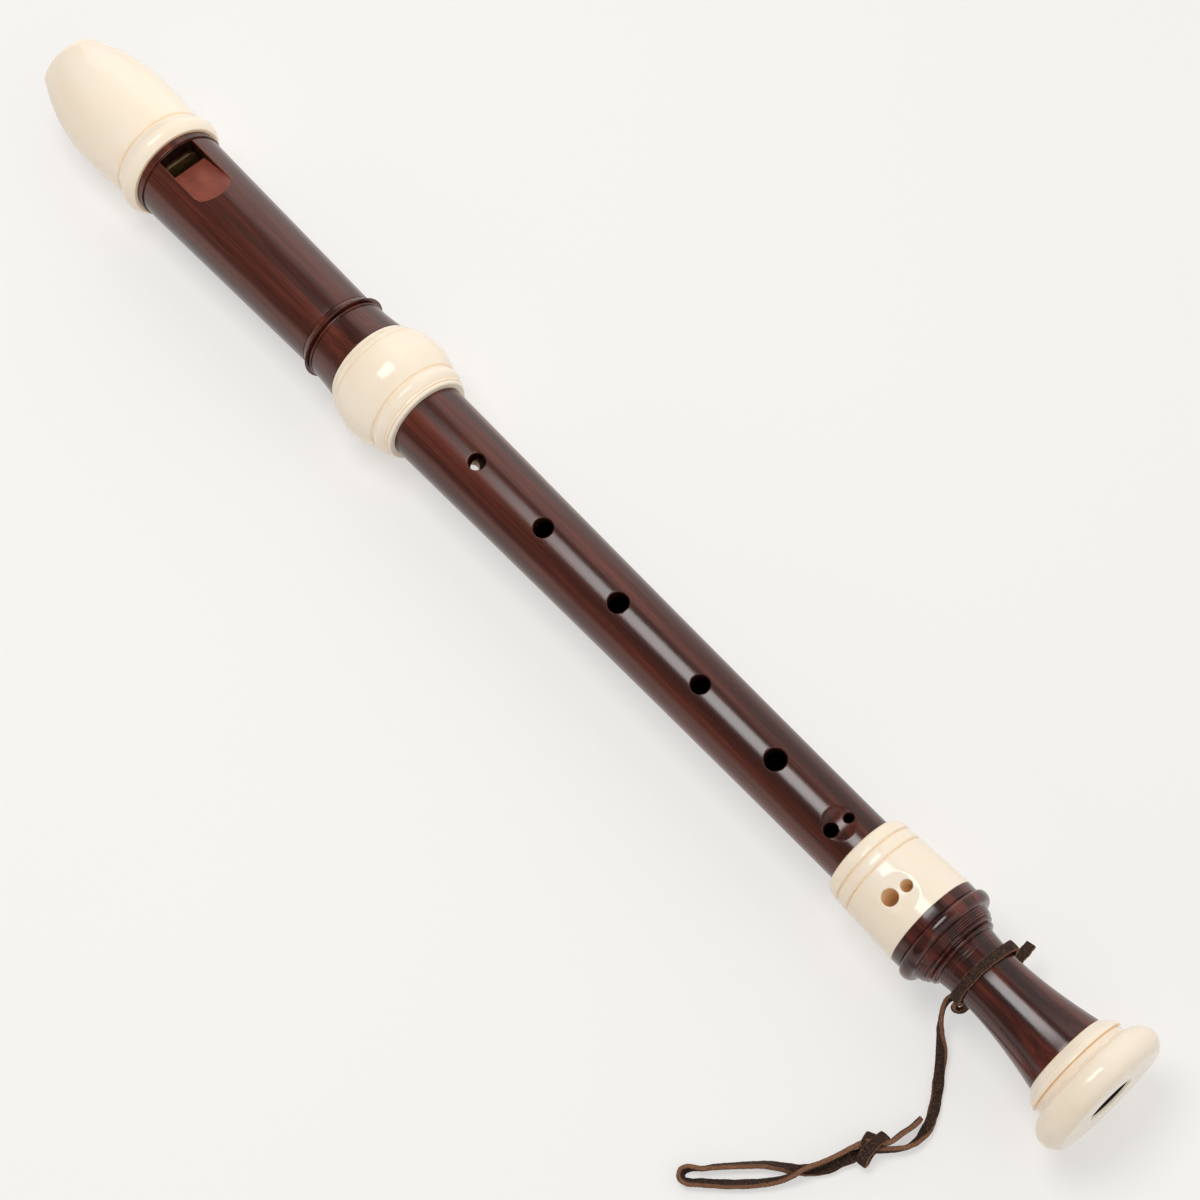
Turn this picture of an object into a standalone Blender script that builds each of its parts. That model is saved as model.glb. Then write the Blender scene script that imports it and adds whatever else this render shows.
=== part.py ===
"""An alto recorder in three joints, lying window up on a flat surface, with a leather thong at its foot.

Each joint is modelled standing, beak up. Stations run down the bore from the beak's tip, so a point of a
profile is (station, radius). The front, where the windway and the finger holes are, faces local +X, and an
empty lays the whole instrument down on its beak bead and its foot rim.
"""

import math

import bmesh
import bpy
from mathutils import Vector
from mathutils.geometry import interpolate_bezier

MM = 0.001

# Fits
SEAT_GAP = 0.3 * MM
TENON_GAP = 0.2 * MM
FACETS = 32
SMOOTH_ANGLE = math.radians(35)
MOUTH_EDGE = 0.4 * MM
CUTTER_OVERRUN = 2.0 * MM

# Lengths along the instrument
CAP_LENGTH = 56.3 * MM
COLLAR_WIDTH = 2.6 * MM
HEAD_LENGTH = 184.4 * MM
HEAD_RING_LENGTH = 28.0 * MM
FLANGE_TO_RING = 12.8 * MM
MIDDLE_LENGTH = 193.5 * MM
FOOT_SLEEVE_LENGTH = 27.7 * MM
FOOT_BODY_LENGTH = 52.3 * MM
END_RING_LENGTH = 17.1 * MM

# How far each joint is turned on the bore axis from window up
MIDDLE_TURN = math.radians(10)
FOOT_TURN = math.radians(20)

# Bore
HEAD_BORE_R = 9.8 * MM
MIDDLE_BORE_TOP_R = 9.2 * MM
MIDDLE_BORE_END_R = 6.6 * MM
FOOT_BORE_R = 6.5 * MM
BELL_MOUTH_R = 7.4 * MM

# Beak cap
BEAK_TIP_R = 12.6 * MM
BEAK_LIP_ROUND = 0.7 * MM
CAP_SWELL_R = 18.4 * MM
CAP_SWELL_STATION = 29.0 * MM
CAP_WAIST_R = 17.3 * MM
CAP_BEAD_WIDTH = 8.5 * MM
CAP_BEAD_R = 18.9 * MM
CAP_BEAD_CREST = 2.7 * MM
CAP_RIM_R = 16.5 * MM
CAP_GROOVE_WIDTH = 0.8 * MM
CAP_GROOVE_DEPTH = 0.4 * MM
BEAK_CUT_R = 62.0 * MM
BEAK_CUT_LENGTH = 38.0 * MM
LOWER_LIP = 2.4 * MM

# Windway, window and block
WINDWAY_WIDTH = 13.1 * MM
WINDWAY_FLOOR = 10.0 * MM
WINDWAY_TIP_DROP = 2.2 * MM
WINDWAY_HEIGHT = 1.4 * MM
CUT_UP = 5.6 * MM
LABIUM_LIFT = 0.4 * MM
RAMP_ANGLE = math.radians(15)
BLOCK_CHAMFER = 0.5 * MM

# Head tube
SLEEVE_R = 14.0 * MM
SLEEVE_BELOW_BEAK = 2.0 * MM
COLLAR_R = 16.15 * MM
HEAD_TOP_R = 15.6 * MM
HEAD_WAIST_R = 13.95 * MM
FLANGE_R = 15.7 * MM
FLANGE_WIDTH = 1.7 * MM
FLANGE_RING_R = 14.75 * MM
FLANGE_RING_WIDTH = 1.6 * MM
FLARE_TOP_R = 14.45 * MM
FLARE_R = 15.5 * MM
HEAD_SPIGOT_R = 13.8 * MM

# Head ring, the ivory bulb over the upper socket
BULB_R = 19.5 * MM
BULB_STATION = 12.2 * MM
BULB_WAIST_R = 16.7 * MM
BULB_WAIST_STATION = 21.3 * MM
RING_BEAD_R = 17.4 * MM
RING_BEAD_WIDTH = 4.6 * MM
RING_LIP_R = 15.4 * MM
RING_LIP_LENGTH = 1.5 * MM

# Middle tube and its tenons
MIDDLE_TOP_R = 13.25 * MM
MIDDLE_END_R = 11.15 * MM
MIDDLE_TAPER_POWER = 1.5
HEAD_TENON_R = 11.5 * MM
HEAD_TENON_LENGTH = 24.0 * MM
FOOT_TENON_R = 9.8 * MM
FOOT_TENON_LENGTH = 11.0 * MM
FOOT_MOUTH_DEPTH = 2.0 * MM

# Finger holes: distance below the head ring, and diameter
FINGER_HOLES = (
    (27.2 * MM, 5.5 * MM),
    (57.7 * MM, 6.3 * MM),
    (91.3 * MM, 6.6 * MM),
    (127.0 * MM, 5.9 * MM),
    (158.8 * MM, 6.8 * MM),
)
THUMB_HOLE_STATION = 17.2 * MM
THUMB_HOLE_D = 5.4 * MM
THUMB_BUSH_D = 10.0 * MM

# Double holes: distance below the joint above, spread between centres, and the two diameters
LOW_PAIR_STATION = 185.2 * MM
LOW_PAIR_SPREAD = 6.1 * MM
LOW_PAIR_WIDE_D = 4.4 * MM
LOW_PAIR_NARROW_D = 3.1 * MM
LOW_PAIR_SADDLE = 1.2 * MM
FOOT_PAIR_STATION = 18.0 * MM
FOOT_PAIR_SPREAD = 5.6 * MM
FOOT_PAIR_WIDE_D = 5.1 * MM
FOOT_PAIR_NARROW_D = 3.65 * MM
FOOT_PAIR_SADDLE = 1.05 * MM
PAIR_STAGGER = 0.5 * MM

# Foot sleeve
FOOT_MOUTH_ROUND = 2.4 * MM
FOOT_BEAD_R = 14.5 * MM
FOOT_BEAD_LENGTH = 5.3 * MM
FOOT_BAND_LENGTH = 3.8 * MM
FOOT_CYLINDER_TOP_R = 14.8 * MM
FOOT_CYLINDER_END_R = 15.5 * MM
FINE_GROOVE_WIDTH = 0.6 * MM
FINE_GROOVE_DEPTH = 0.3 * MM

# Foot body
FOOT_SPIGOT_R = 10.0 * MM
FOOT_SPIGOT_LENGTH = 4.0 * MM
BAND_WIDTH = 3.2 * MM
BAND_R = 15.4 * MM
TORUS_R = 16.75 * MM
TORUS_WIDTH = 6.2 * MM
TORUS_BASE_R = 13.9 * MM
STEP_R = 12.7 * MM
STEP_WIDTH = 1.2 * MM
SMALL_BEAD_R = 11.65 * MM
SMALL_BEAD_WIDTH = 3.2 * MM
NECK_TOP_R = 10.4 * MM
NECK_R = 9.74 * MM
NECK_STATION = 24.0 * MM
FLARE_END_R = 13.5 * MM
END_SPIGOT_R = 10.4 * MM
END_SPIGOT_LENGTH = 7.0 * MM

# Foot end ring
END_STEP_R = 16.9 * MM
END_STEP_LENGTH = 4.9 * MM
END_RECESS_R = 16.0 * MM
END_RECESS_LENGTH = 2.2 * MM
END_RIM_R = 21.9 * MM
END_RIM_CREST = 5.0 * MM
END_FACE_R = 16.5 * MM

# Thong: a flat leather lace, drawn as a round cord of about the same section
LACE_D = 2.4 * MM
LACE_WIDTH = 3.2 * MM
LACE_THICKNESS = 1.4 * MM
NOOSE_STATION = 20.7 * MM
KNOT_LENGTH = 9.2 * MM
KNOT_WIDTH = 8.4 * MM
KNOT_HEIGHT = 7.2 * MM

# Stations worked out from the lengths above
SLEEVE_TOP = BEAK_CUT_LENGTH + SLEEVE_BELOW_BEAK
COLLAR_TOP = CAP_LENGTH + SEAT_GAP
WINDOW_TOP = COLLAR_TOP + COLLAR_WIDTH
LABIUM = WINDOW_TOP + CUT_UP
HEAD_RING_TOP = HEAD_LENGTH - HEAD_RING_LENGTH
FLANGE = HEAD_RING_TOP - FLANGE_TO_RING
MIDDLE_TOP = HEAD_LENGTH
FOOT_TOP = MIDDLE_TOP + MIDDLE_LENGTH
FOOT_BODY_TOP = FOOT_TOP + FOOT_SLEEVE_LENGTH
END_RING_TOP = FOOT_BODY_TOP + FOOT_BODY_LENGTH
FOOT_END = END_RING_TOP + END_RING_LENGTH
CAP_BEAD_STATION = CAP_LENGTH - CAP_BEAD_CREST
END_RIM_STATION = FOOT_END - END_RIM_CREST
NECK = FOOT_BODY_TOP + NECK_STATION
NOOSE = FOOT_BODY_TOP + NOOSE_STATION
HEAD_SPIGOT_END = HEAD_LENGTH - RING_LIP_LENGTH - SEAT_GAP
SHOULDER = HEAD_SPIGOT_END + SEAT_GAP
TENON_TOP = SHOULDER - HEAD_TENON_LENGTH
SOCKET_TOP = TENON_TOP - SEAT_GAP
FOOT_SHOULDER = FOOT_TOP + FOOT_MOUTH_DEPTH
FOOT_TENON_END = FOOT_SHOULDER + FOOT_TENON_LENGTH
FOOT_SOCKET_END = FOOT_TENON_END + SEAT_GAP

# How the instrument lies: on a facet of the cap's bead and a facet of the foot's rim
FACET_SHRINK = math.cos(math.pi / FACETS)
REST_TILT = math.atan2(FACET_SHRINK * (END_RIM_R - CAP_BEAD_R), END_RIM_STATION - CAP_BEAD_STATION)
TIP_HEIGHT = END_RIM_R * FACET_SHRINK * math.cos(REST_TILT) - END_RIM_STATION * math.sin(REST_TILT)

# The lace's route on the surface: x along the instrument from the noose, y across, z up, in millimetres
CORD_ROUTE = (
    (-2.2, -9.4, 11.4),
    (-1.9, -11.3, 9.0),
    (-0.6, -13.4, 7.0),
    (2.6, -16.6, 4.8),
    (6.5, -19.6, 2.9),
    (10.9, -24.9, 1.7),
    (14.3, -29.2, 1.4),
    (16.8, -33.0, 1.4),
    (19.0, -37.4, 1.4),
    (19.7, -42.0, 1.4),
    (18.9, -46.2, 1.7),
    (17.2, -49.0, 2.8),
)
KNOT_PLACE = (13.6, -53.1, 3.8)
KNOT_HEADING = math.radians(52)
KNOT_TAIL_ROUTE = (
    (13.6, -47.6, 5.6),
    (14.4, -45.0, 4.4),
    (15.2, -41.2, 2.3),
    (15.6, -37.0, 1.5),
)
FINGER_LOOP_ROUTE = (
    (10.5, -57.4, 4.6),
    (9.3, -61.0, 4.3),
    (7.1, -66.8, 4.2),
    (4.5, -72.3, 4.0),
    (2.3, -77.9, 2.6),
    (-1.3, -84.0, 1.5),
    (-6.3, -90.1, 1.4),
    (-11.7, -95.4, 1.4),
    (-15.4, -98.6, 1.4),
    (-17.4, -99.0, 1.4),
    (-17.9, -96.6, 1.4),
    (-14.5, -91.2, 1.4),
    (-11.1, -86.3, 1.4),
    (-6.6, -80.9, 1.4),
    (-0.8, -76.4, 1.4),
    (4.6, -72.2, 1.4),
    (8.6, -68.2, 1.5),
    (11.2, -63.6, 2.0),
    (12.6, -59.6, 3.2),
)
TAIL_ROUTE = (
    (1.0, 9.6, 13.3),
    (1.8, 13.4, 13.6),
    (2.6, 17.0, 13.0),
    (2.9, 20.0, 12.2),
)
HITCH_ROUTE = (
    (0.2, -9.7, 13.6),
    (0.9, -11.9, 11.2),
    (2.6, -11.6, 8.4),
    (4.6, -9.0, 9.0),
    (4.9, -6.6, 10.6),
)


def clear_scene():
    for item in list(bpy.data.objects):
        bpy.data.objects.remove(item, do_unlink=True)


def linear(byte):
    share = byte / 255
    return share / 12.92 if share <= 0.04045 else ((share + 0.055) / 1.055) ** 2.4


def make_material(name, red, green, blue, roughness):
    material = bpy.data.materials.new(name)
    material.use_nodes = True
    shader = material.node_tree.nodes["Principled BSDF"]
    shader.inputs["Base Color"].default_value = (linear(red), linear(green), linear(blue), 1.0)
    shader.inputs["Roughness"].default_value = roughness
    shader.inputs["Metallic"].default_value = 0.0
    return material


def make_empty(name, parent=None, turn=0.0):
    empty = bpy.data.objects.new(name, None)
    empty.empty_display_size = 20 * MM
    empty.parent = parent
    empty.rotation_euler = (0.0, 0.0, -turn)
    bpy.context.scene.collection.objects.link(empty)
    return empty


def finish_mesh(name, shape, material, parent):
    bmesh.ops.recalc_face_normals(shape, faces=shape.faces)
    mesh = bpy.data.meshes.new(name)
    shape.to_mesh(mesh)
    shape.free()
    item = bpy.data.objects.new(name, mesh)
    bpy.context.scene.collection.objects.link(item)
    item.parent = parent
    if material is not None:
        mesh.materials.append(material)
        mesh.shade_smooth()
        mesh.set_sharp_from_angle(angle=SMOOTH_ANGLE)
    return item


def turned(name, profile, material, parent):
    """Spin a closed profile of (station, radius) points, with a facet facing straight down as the piece lies."""
    phase = math.pi / FACETS - parent.rotation_euler.z
    shape = bmesh.new()
    ring = [
        shape.verts.new((radius * math.cos(phase), radius * math.sin(phase), -station))
        for station, radius in profile
    ]
    edges = [shape.edges.new((a, b)) for a, b in zip(ring, ring[1:] + ring[:1])]
    bmesh.ops.spin(
        shape, geom=ring + edges, cent=(0, 0, 0), axis=(0, 0, 1),
        angle=2 * math.pi, steps=FACETS, use_merge=True,
    )
    return finish_mesh(name, shape, material, parent)


def extruded(name, outline, step, material, parent):
    """Push a flat outline of points along one vector."""
    shape = bmesh.new()
    base = shape.faces.new([shape.verts.new(point) for point in outline])
    pushed = bmesh.ops.extrude_face_region(shape, geom=[base])
    moved = [item for item in pushed["geom"] if isinstance(item, bmesh.types.BMVert)]
    bmesh.ops.translate(shape, verts=moved, vec=step)
    return finish_mesh(name, shape, material, parent)


def bar_outline(centre, radius, across, upward, sides):
    """Points of a circle round centre, in the plane of two unit vectors."""
    points = []
    for side in range(sides):
        angle = 2 * math.pi * side / sides
        points.append(centre + radius * (math.cos(angle) * across + math.sin(angle) * upward))
    return points


def bar(name, centre, radius, length, along, parent, material=None, sides=24):
    """A round bar from centre, running along +X, +Y or -X."""
    upward = Vector((0, 0, 1))
    outline = bar_outline(centre, radius, along.cross(upward), upward, sides)
    return extruded(name, outline, along * length, material, parent)


def cutter(item):
    item.hide_render = True
    item.display_type = "WIRE"
    return item


def cut(item, tool, operation="DIFFERENCE"):
    boolean = item.modifiers.new(tool.name, "BOOLEAN")
    boolean.object = tool
    boolean.operation = operation
    boolean.solver = "EXACT"


def side_outline(points):
    """Points of (station, height) on the left side of a slot as wide as the windway."""
    return [Vector((height, -WINDWAY_WIDTH / 2, -station)) for station, height in points]


def between(start, end, share):
    return start + (end - start) * share


def bead(top, width, base, crest, steps=6):
    """A rounded bead that stands on a turned surface."""
    points = []
    for step in range(steps + 1):
        angle = math.pi * step / steps
        points.append((top + width * (1 - math.cos(angle)) / 2, base + (crest - base) * math.sin(angle)))
    return points


def groove(station, radius, width, depth):
    """A fine V groove centred on a station of a turned surface."""
    return [(station - width / 2, radius), (station, radius - depth), (station + width / 2, radius)]


def swell(top, end, top_r, end_r, crest, crest_r, steps):
    """Two parabolas that meet at a crest."""
    points = []
    for step in range(steps + 1):
        station = between(top, end, step / steps)
        side, side_r = (top, top_r) if station < crest else (end, end_r)
        share = (station - crest) / (side - crest)
        points.append((station, crest_r - (crest_r - side_r) * share * share))
    return points


def middle_radius(station):
    share = (FOOT_TOP - station) / MIDDLE_LENGTH
    return MIDDLE_END_R + (MIDDLE_TOP_R - MIDDLE_END_R) * max(share, 0.0) ** MIDDLE_TAPER_POWER


def middle_bore(station):
    return between(MIDDLE_BORE_TOP_R, MIDDLE_BORE_END_R, (station - TENON_TOP) / (FOOT_TENON_END - TENON_TOP))


def neck_radius(station):
    """The foot's neck is a catenary-like hollow between its beads and its end ring."""
    top = FOOT_BODY_TOP + SEAT_GAP + BAND_WIDTH + TORUS_WIDTH + STEP_WIDTH + SMALL_BEAD_WIDTH
    if station < NECK:
        share = (NECK - station) / (NECK - top)
        return NECK_R + (NECK_TOP_R - NECK_R) * share * share
    share = (station - NECK) / (END_RING_TOP - NECK)
    return NECK_R + (FLARE_END_R - NECK_R) * share ** 1.7


def windway_floor(station):
    """The windway climbs from the beak's tip to the window."""
    return WINDWAY_FLOOR - WINDWAY_TIP_DROP * (1 - station / WINDOW_TOP)


def beak_cut_tool(name, parent):
    """The hollow under the beak: a large cylinder across the tip, through the lower lip and the cap's back."""
    lip = Vector((0.0, windway_floor(0.0) - LOWER_LIP))
    heel = Vector((BEAK_CUT_LENGTH, -CAP_SWELL_R))
    chord = heel - lip
    outward = Vector((chord.y, -chord.x)).normalized()
    centre = (lip + heel) / 2 + outward * math.sqrt(BEAK_CUT_R ** 2 - (chord.length / 2) ** 2)
    start = Vector((centre.y, -2 * CAP_SWELL_R, -centre.x))
    return cutter(bar(name, start, BEAK_CUT_R, 4 * CAP_SWELL_R, Vector((0, 1, 0)), parent, sides=96))


def windway_tool(name, parent):
    """The slot over the block, from the beak's tip to the window."""
    under = math.sqrt(HEAD_BORE_R ** 2 - (WINDWAY_WIDTH / 2) ** 2) - SEAT_GAP
    start = -CUTTER_OVERRUN
    outline = side_outline([
        (start, under), (WINDOW_TOP, under), (WINDOW_TOP, windway_floor(WINDOW_TOP) + WINDWAY_HEIGHT),
        (start, windway_floor(start) + WINDWAY_HEIGHT),
    ])
    return cutter(extruded(name, outline, Vector((0, WINDWAY_WIDTH, 0)), None, parent))


def window_tool(name, parent):
    """The window in front of the windway, with the ramp that rises from the labium's edge."""
    inside = HEAD_BORE_R / 2
    edge = HEAD_BORE_R + LABIUM_LIFT
    outside = HEAD_TOP_R + CUTTER_OVERRUN
    run = (outside - edge) / math.tan(RAMP_ANGLE)
    outline = side_outline([
        (WINDOW_TOP, inside), (LABIUM, inside), (LABIUM, edge), (LABIUM + run, outside), (WINDOW_TOP, outside),
    ])
    return cutter(extruded(name, outline, Vector((0, WINDWAY_WIDTH, 0)), None, parent))


def make_beak_cap(parent, ivory):
    bead_top = CAP_LENGTH - CAP_BEAD_WIDTH
    outer = [(0.0, BEAK_TIP_R - BEAK_LIP_ROUND), (0.3 * BEAK_LIP_ROUND, BEAK_TIP_R - 0.3 * BEAK_LIP_ROUND)]
    outer += swell(BEAK_LIP_ROUND, bead_top - CAP_GROOVE_WIDTH / 2, BEAK_TIP_R, CAP_WAIST_R,
                   CAP_SWELL_STATION, CAP_SWELL_R, 10)
    outer += groove(bead_top, CAP_WAIST_R, CAP_GROOVE_WIDTH, CAP_GROOVE_DEPTH)[1:]
    for step in range(1, 5):
        rise = math.sin(math.pi / 2 * step / 4) ** 2
        station = between(bead_top + CAP_GROOVE_WIDTH / 2, CAP_BEAD_STATION, step / 4)
        outer.append((station, between(CAP_WAIST_R, CAP_BEAD_R, rise)))
    for step in range(1, 5):
        angle = math.pi / 2 * step / 4
        fall = CAP_BEAD_R - (CAP_BEAD_R - CAP_RIM_R) * (1 - math.cos(angle))
        outer.append((CAP_BEAD_STATION + CAP_BEAD_CREST * math.sin(angle), fall))
    socket = SLEEVE_R + SEAT_GAP
    inner = [
        (CAP_LENGTH, socket), (SLEEVE_TOP, socket),
        (SLEEVE_TOP, HEAD_BORE_R + SEAT_GAP), (0.0, HEAD_BORE_R + SEAT_GAP),
    ]
    cap = turned("beak_cap", outer + inner, ivory, parent)
    cut(cap, beak_cut_tool("beak_cap_hollow", parent))
    cut(cap, windway_tool("beak_cap_windway", parent))


def make_block(parent, wood):
    """The block stops the bore under the windway, which runs along a raised floor on its front."""
    radius = HEAD_BORE_R - SEAT_GAP
    half = WINDWAY_WIDTH / 2 - SEAT_GAP
    start = math.asin(half / radius)
    outline = [Vector((WINDWAY_FLOOR, -half, 0)), Vector((WINDWAY_FLOOR, half, 0))]
    for step in range(25):
        angle = between(start, 2 * math.pi - start, step / 24)
        outline.append(Vector((radius * math.cos(angle), radius * math.sin(angle), 0)))
    length = WINDOW_TOP
    block = extruded("windway_block", outline, Vector((0, 0, -length)), wood, parent)
    above = WINDWAY_FLOOR + CUTTER_OVERRUN
    start = -CUTTER_OVERRUN
    bend = length - BLOCK_CHAMFER
    end = length + CUTTER_OVERRUN
    outline = side_outline([
        (start, windway_floor(start)), (bend, windway_floor(bend)),
        (end, windway_floor(bend) - (end - bend)), (end, above), (start, above),
    ])
    floor = extruded("block_floor", outline, Vector((0, WINDWAY_WIDTH, 0)), None, parent)
    cut(block, cutter(floor))
    cut(block, beak_cut_tool("block_hollow", parent))


def make_head_tube(parent, brown):
    outer = [
        (SLEEVE_TOP + SEAT_GAP, SLEEVE_R), (COLLAR_TOP, SLEEVE_R),
        (COLLAR_TOP, COLLAR_R), (WINDOW_TOP, COLLAR_R), (WINDOW_TOP, HEAD_TOP_R),
    ]
    outer += bead(FLANGE - FLANGE_WIDTH / 2, FLANGE_WIDTH, HEAD_WAIST_R, FLANGE_R)
    ring_top = FLANGE + FLANGE_WIDTH / 2 + FINE_GROOVE_WIDTH
    ring_end = ring_top + FLANGE_RING_WIDTH
    outer += [(ring_top, HEAD_WAIST_R), (ring_top, FLANGE_RING_R), (ring_end, FLANGE_RING_R)]
    seat = HEAD_RING_TOP - SEAT_GAP
    for step in range(4):
        share = step / 3
        outer.append((between(ring_end, seat, share), between(FLARE_TOP_R, FLARE_R, share ** 1.5)))
    outer += [(seat, HEAD_SPIGOT_R), (HEAD_SPIGOT_END, HEAD_SPIGOT_R)]
    socket = HEAD_TENON_R + TENON_GAP
    inner = [
        (HEAD_SPIGOT_END, socket), (SOCKET_TOP, socket),
        (SOCKET_TOP, HEAD_BORE_R), (SLEEVE_TOP + SEAT_GAP, HEAD_BORE_R),
    ]
    tube = turned("head_tube", outer + inner, brown, parent)
    cut(tube, windway_tool("head_windway", parent))
    cut(tube, window_tool("head_window", parent))


def make_head_ring(parent, ivory):
    waist = HEAD_RING_TOP + BULB_WAIST_STATION
    outer = swell(HEAD_RING_TOP, waist, FLARE_R, BULB_WAIST_R, HEAD_RING_TOP + BULB_STATION, BULB_R, 12)
    bead_top = waist + FINE_GROOVE_WIDTH
    outer += bead(bead_top, RING_BEAD_WIDTH, BULB_WAIST_R - FINE_GROOVE_DEPTH, RING_BEAD_R)
    mouth = MIDDLE_TOP_R + SEAT_GAP
    outer += bead(bead_top + RING_BEAD_WIDTH, HEAD_LENGTH - bead_top - RING_BEAD_WIDTH, mouth + MOUTH_EDGE,
                  RING_LIP_R, 4)[1:]
    inside = HEAD_SPIGOT_R + SEAT_GAP
    inner = [(HEAD_LENGTH, mouth), (SHOULDER, mouth), (SHOULDER, inside), (HEAD_RING_TOP, inside)]
    turned("head_ring", outer + inner, ivory, parent)


def add_pair(item, name, parent, station, radius, saddle, spread, wide, narrow):
    """A wide and a narrow hole side by side in a saddle, which is a cylinder cut across the tube."""
    across = Vector((0, 1, 0))
    centre = Vector((2 * radius - saddle, -2 * radius, -station))
    cut(item, cutter(bar(f"{name}_saddle", centre, radius, 4 * radius, across, parent, sides=80)))
    for side, width, label in ((-1, wide, "wide"), (1, narrow, "narrow")):
        place = Vector((0.0, side * spread / 2, -(station + side * PAIR_STAGGER)))
        tool = bar(f"{name}_{label}", place, width / 2, 2 * radius, Vector((1, 0, 0)), parent)
        cut(item, cutter(tool))


def make_middle_tube(parent, brown):
    outer = [(TENON_TOP, HEAD_TENON_R), (SHOULDER, HEAD_TENON_R), (SHOULDER, MIDDLE_TOP_R)]
    for step in range(7):
        station = between(MIDDLE_TOP, FOOT_TOP, step / 6)
        outer.append((station, middle_radius(station)))
    outer += [(FOOT_SHOULDER, MIDDLE_END_R), (FOOT_SHOULDER, FOOT_TENON_R), (FOOT_TENON_END, FOOT_TENON_R)]
    inner = [(FOOT_TENON_END, MIDDLE_BORE_END_R), (TENON_TOP, MIDDLE_BORE_TOP_R)]
    tube = turned("middle_tube", outer + inner, brown, parent)
    for number, (distance, width) in enumerate(FINGER_HOLES, 1):
        place = Vector((0, 0, -(MIDDLE_TOP + distance)))
        tool = bar(f"finger_hole_{number}", place, width / 2, 2 * MIDDLE_TOP_R, Vector((1, 0, 0)), parent)
        cut(tube, cutter(tool))
    station = MIDDLE_TOP + LOW_PAIR_STATION
    add_pair(tube, "low_pair", parent, station, middle_radius(station), LOW_PAIR_SADDLE,
             LOW_PAIR_SPREAD, LOW_PAIR_WIDE_D, LOW_PAIR_NARROW_D)
    place = Vector((0, 0, -(MIDDLE_TOP + THUMB_HOLE_STATION)))
    seat = bar("thumb_seat", place, THUMB_BUSH_D / 2 + SEAT_GAP, 2 * MIDDLE_TOP_R, Vector((-1, 0, 0)), parent)
    cut(tube, cutter(seat))


def make_thumb_bush(parent, ivory):
    """The thumb hole's bush, trimmed to the tube's back and to the bore."""
    station = MIDDLE_TOP + THUMB_HOLE_STATION
    place = Vector((0, 0, -station))
    back = Vector((-1, 0, 0))
    bush = bar("thumb_bush", place, THUMB_BUSH_D / 2, 2 * MIDDLE_TOP_R, back, parent, ivory)
    reach = THUMB_BUSH_D
    outside = middle_radius(station)
    inside = middle_bore(station)
    shell = [(station - reach, outside), (station + reach, outside), (station + reach, inside),
             (station - reach, inside)]
    cut(bush, cutter(turned("thumb_bush_shell", shell, None, parent)), "INTERSECT")
    cut(bush, cutter(bar("thumb_hole", place, THUMB_HOLE_D / 2, 3 * MIDDLE_TOP_R, back, parent)))


def make_foot_sleeve(parent, ivory):
    mouth = MIDDLE_END_R + SEAT_GAP
    outer = []
    for step in range(5):
        angle = math.pi / 2 * step / 4
        station = FOOT_TOP + FOOT_MOUTH_ROUND * (1 - math.cos(angle))
        outer.append((station, between(mouth + MOUTH_EDGE, FOOT_BEAD_R, math.sin(angle))))
    first = FOOT_TOP + FOOT_BEAD_LENGTH
    second = first + FOOT_BAND_LENGTH
    outer += groove(first, FOOT_BEAD_R, FINE_GROOVE_WIDTH, FINE_GROOVE_DEPTH)
    outer += groove(second, FOOT_CYLINDER_TOP_R, FINE_GROOVE_WIDTH, FINE_GROOVE_DEPTH)
    outer.append((FOOT_BODY_TOP, FOOT_CYLINDER_END_R))
    socket = FOOT_TENON_R + TENON_GAP
    spigot = FOOT_SPIGOT_R + SEAT_GAP
    spigot_top = FOOT_BODY_TOP - FOOT_SPIGOT_LENGTH
    inner = [
        (FOOT_BODY_TOP, spigot), (spigot_top, spigot), (spigot_top, FOOT_BORE_R),
        (FOOT_SOCKET_END, FOOT_BORE_R), (FOOT_SOCKET_END, socket),
        (FOOT_SHOULDER + SEAT_GAP, socket), (FOOT_SHOULDER + SEAT_GAP, mouth), (FOOT_TOP, mouth),
    ]
    sleeve = turned("foot_sleeve", outer + inner, ivory, parent)
    station = FOOT_TOP + FOOT_PAIR_STATION
    share = (station - second) / (FOOT_BODY_TOP - second)
    radius = between(FOOT_CYLINDER_TOP_R, FOOT_CYLINDER_END_R, share)
    add_pair(sleeve, "foot_pair", parent, station, radius, FOOT_PAIR_SADDLE,
             FOOT_PAIR_SPREAD, FOOT_PAIR_WIDE_D, FOOT_PAIR_NARROW_D)


def make_foot_body(parent, brown):
    top = FOOT_BODY_TOP + SEAT_GAP
    spigot_top = FOOT_BODY_TOP - FOOT_SPIGOT_LENGTH + SEAT_GAP
    outer = [(spigot_top, FOOT_SPIGOT_R), (top, FOOT_SPIGOT_R), (top, BAND_R)]
    torus_top = top + BAND_WIDTH
    outer.append((torus_top - FINE_GROOVE_WIDTH, BAND_R))
    outer += bead(torus_top, TORUS_WIDTH, TORUS_BASE_R, TORUS_R, 7)
    step_top = torus_top + TORUS_WIDTH
    outer[-1] = (step_top, STEP_R)
    step_end = step_top + STEP_WIDTH
    outer.append((step_end, STEP_R))
    outer += bead(step_end, SMALL_BEAD_WIDTH, NECK_TOP_R, SMALL_BEAD_R)
    neck_top = step_end + SMALL_BEAD_WIDTH
    end = END_RING_TOP - SEAT_GAP
    for step in range(1, 9):
        station = between(neck_top, end, step / 8)
        outer.append((station, neck_radius(station)))
    spigot_end = END_RING_TOP + END_SPIGOT_LENGTH
    outer += [(end, END_SPIGOT_R), (spigot_end, END_SPIGOT_R)]
    inner = [(spigot_end, FOOT_BORE_R), (spigot_top, FOOT_BORE_R)]
    turned("foot_body", outer + inner, brown, parent)


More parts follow.
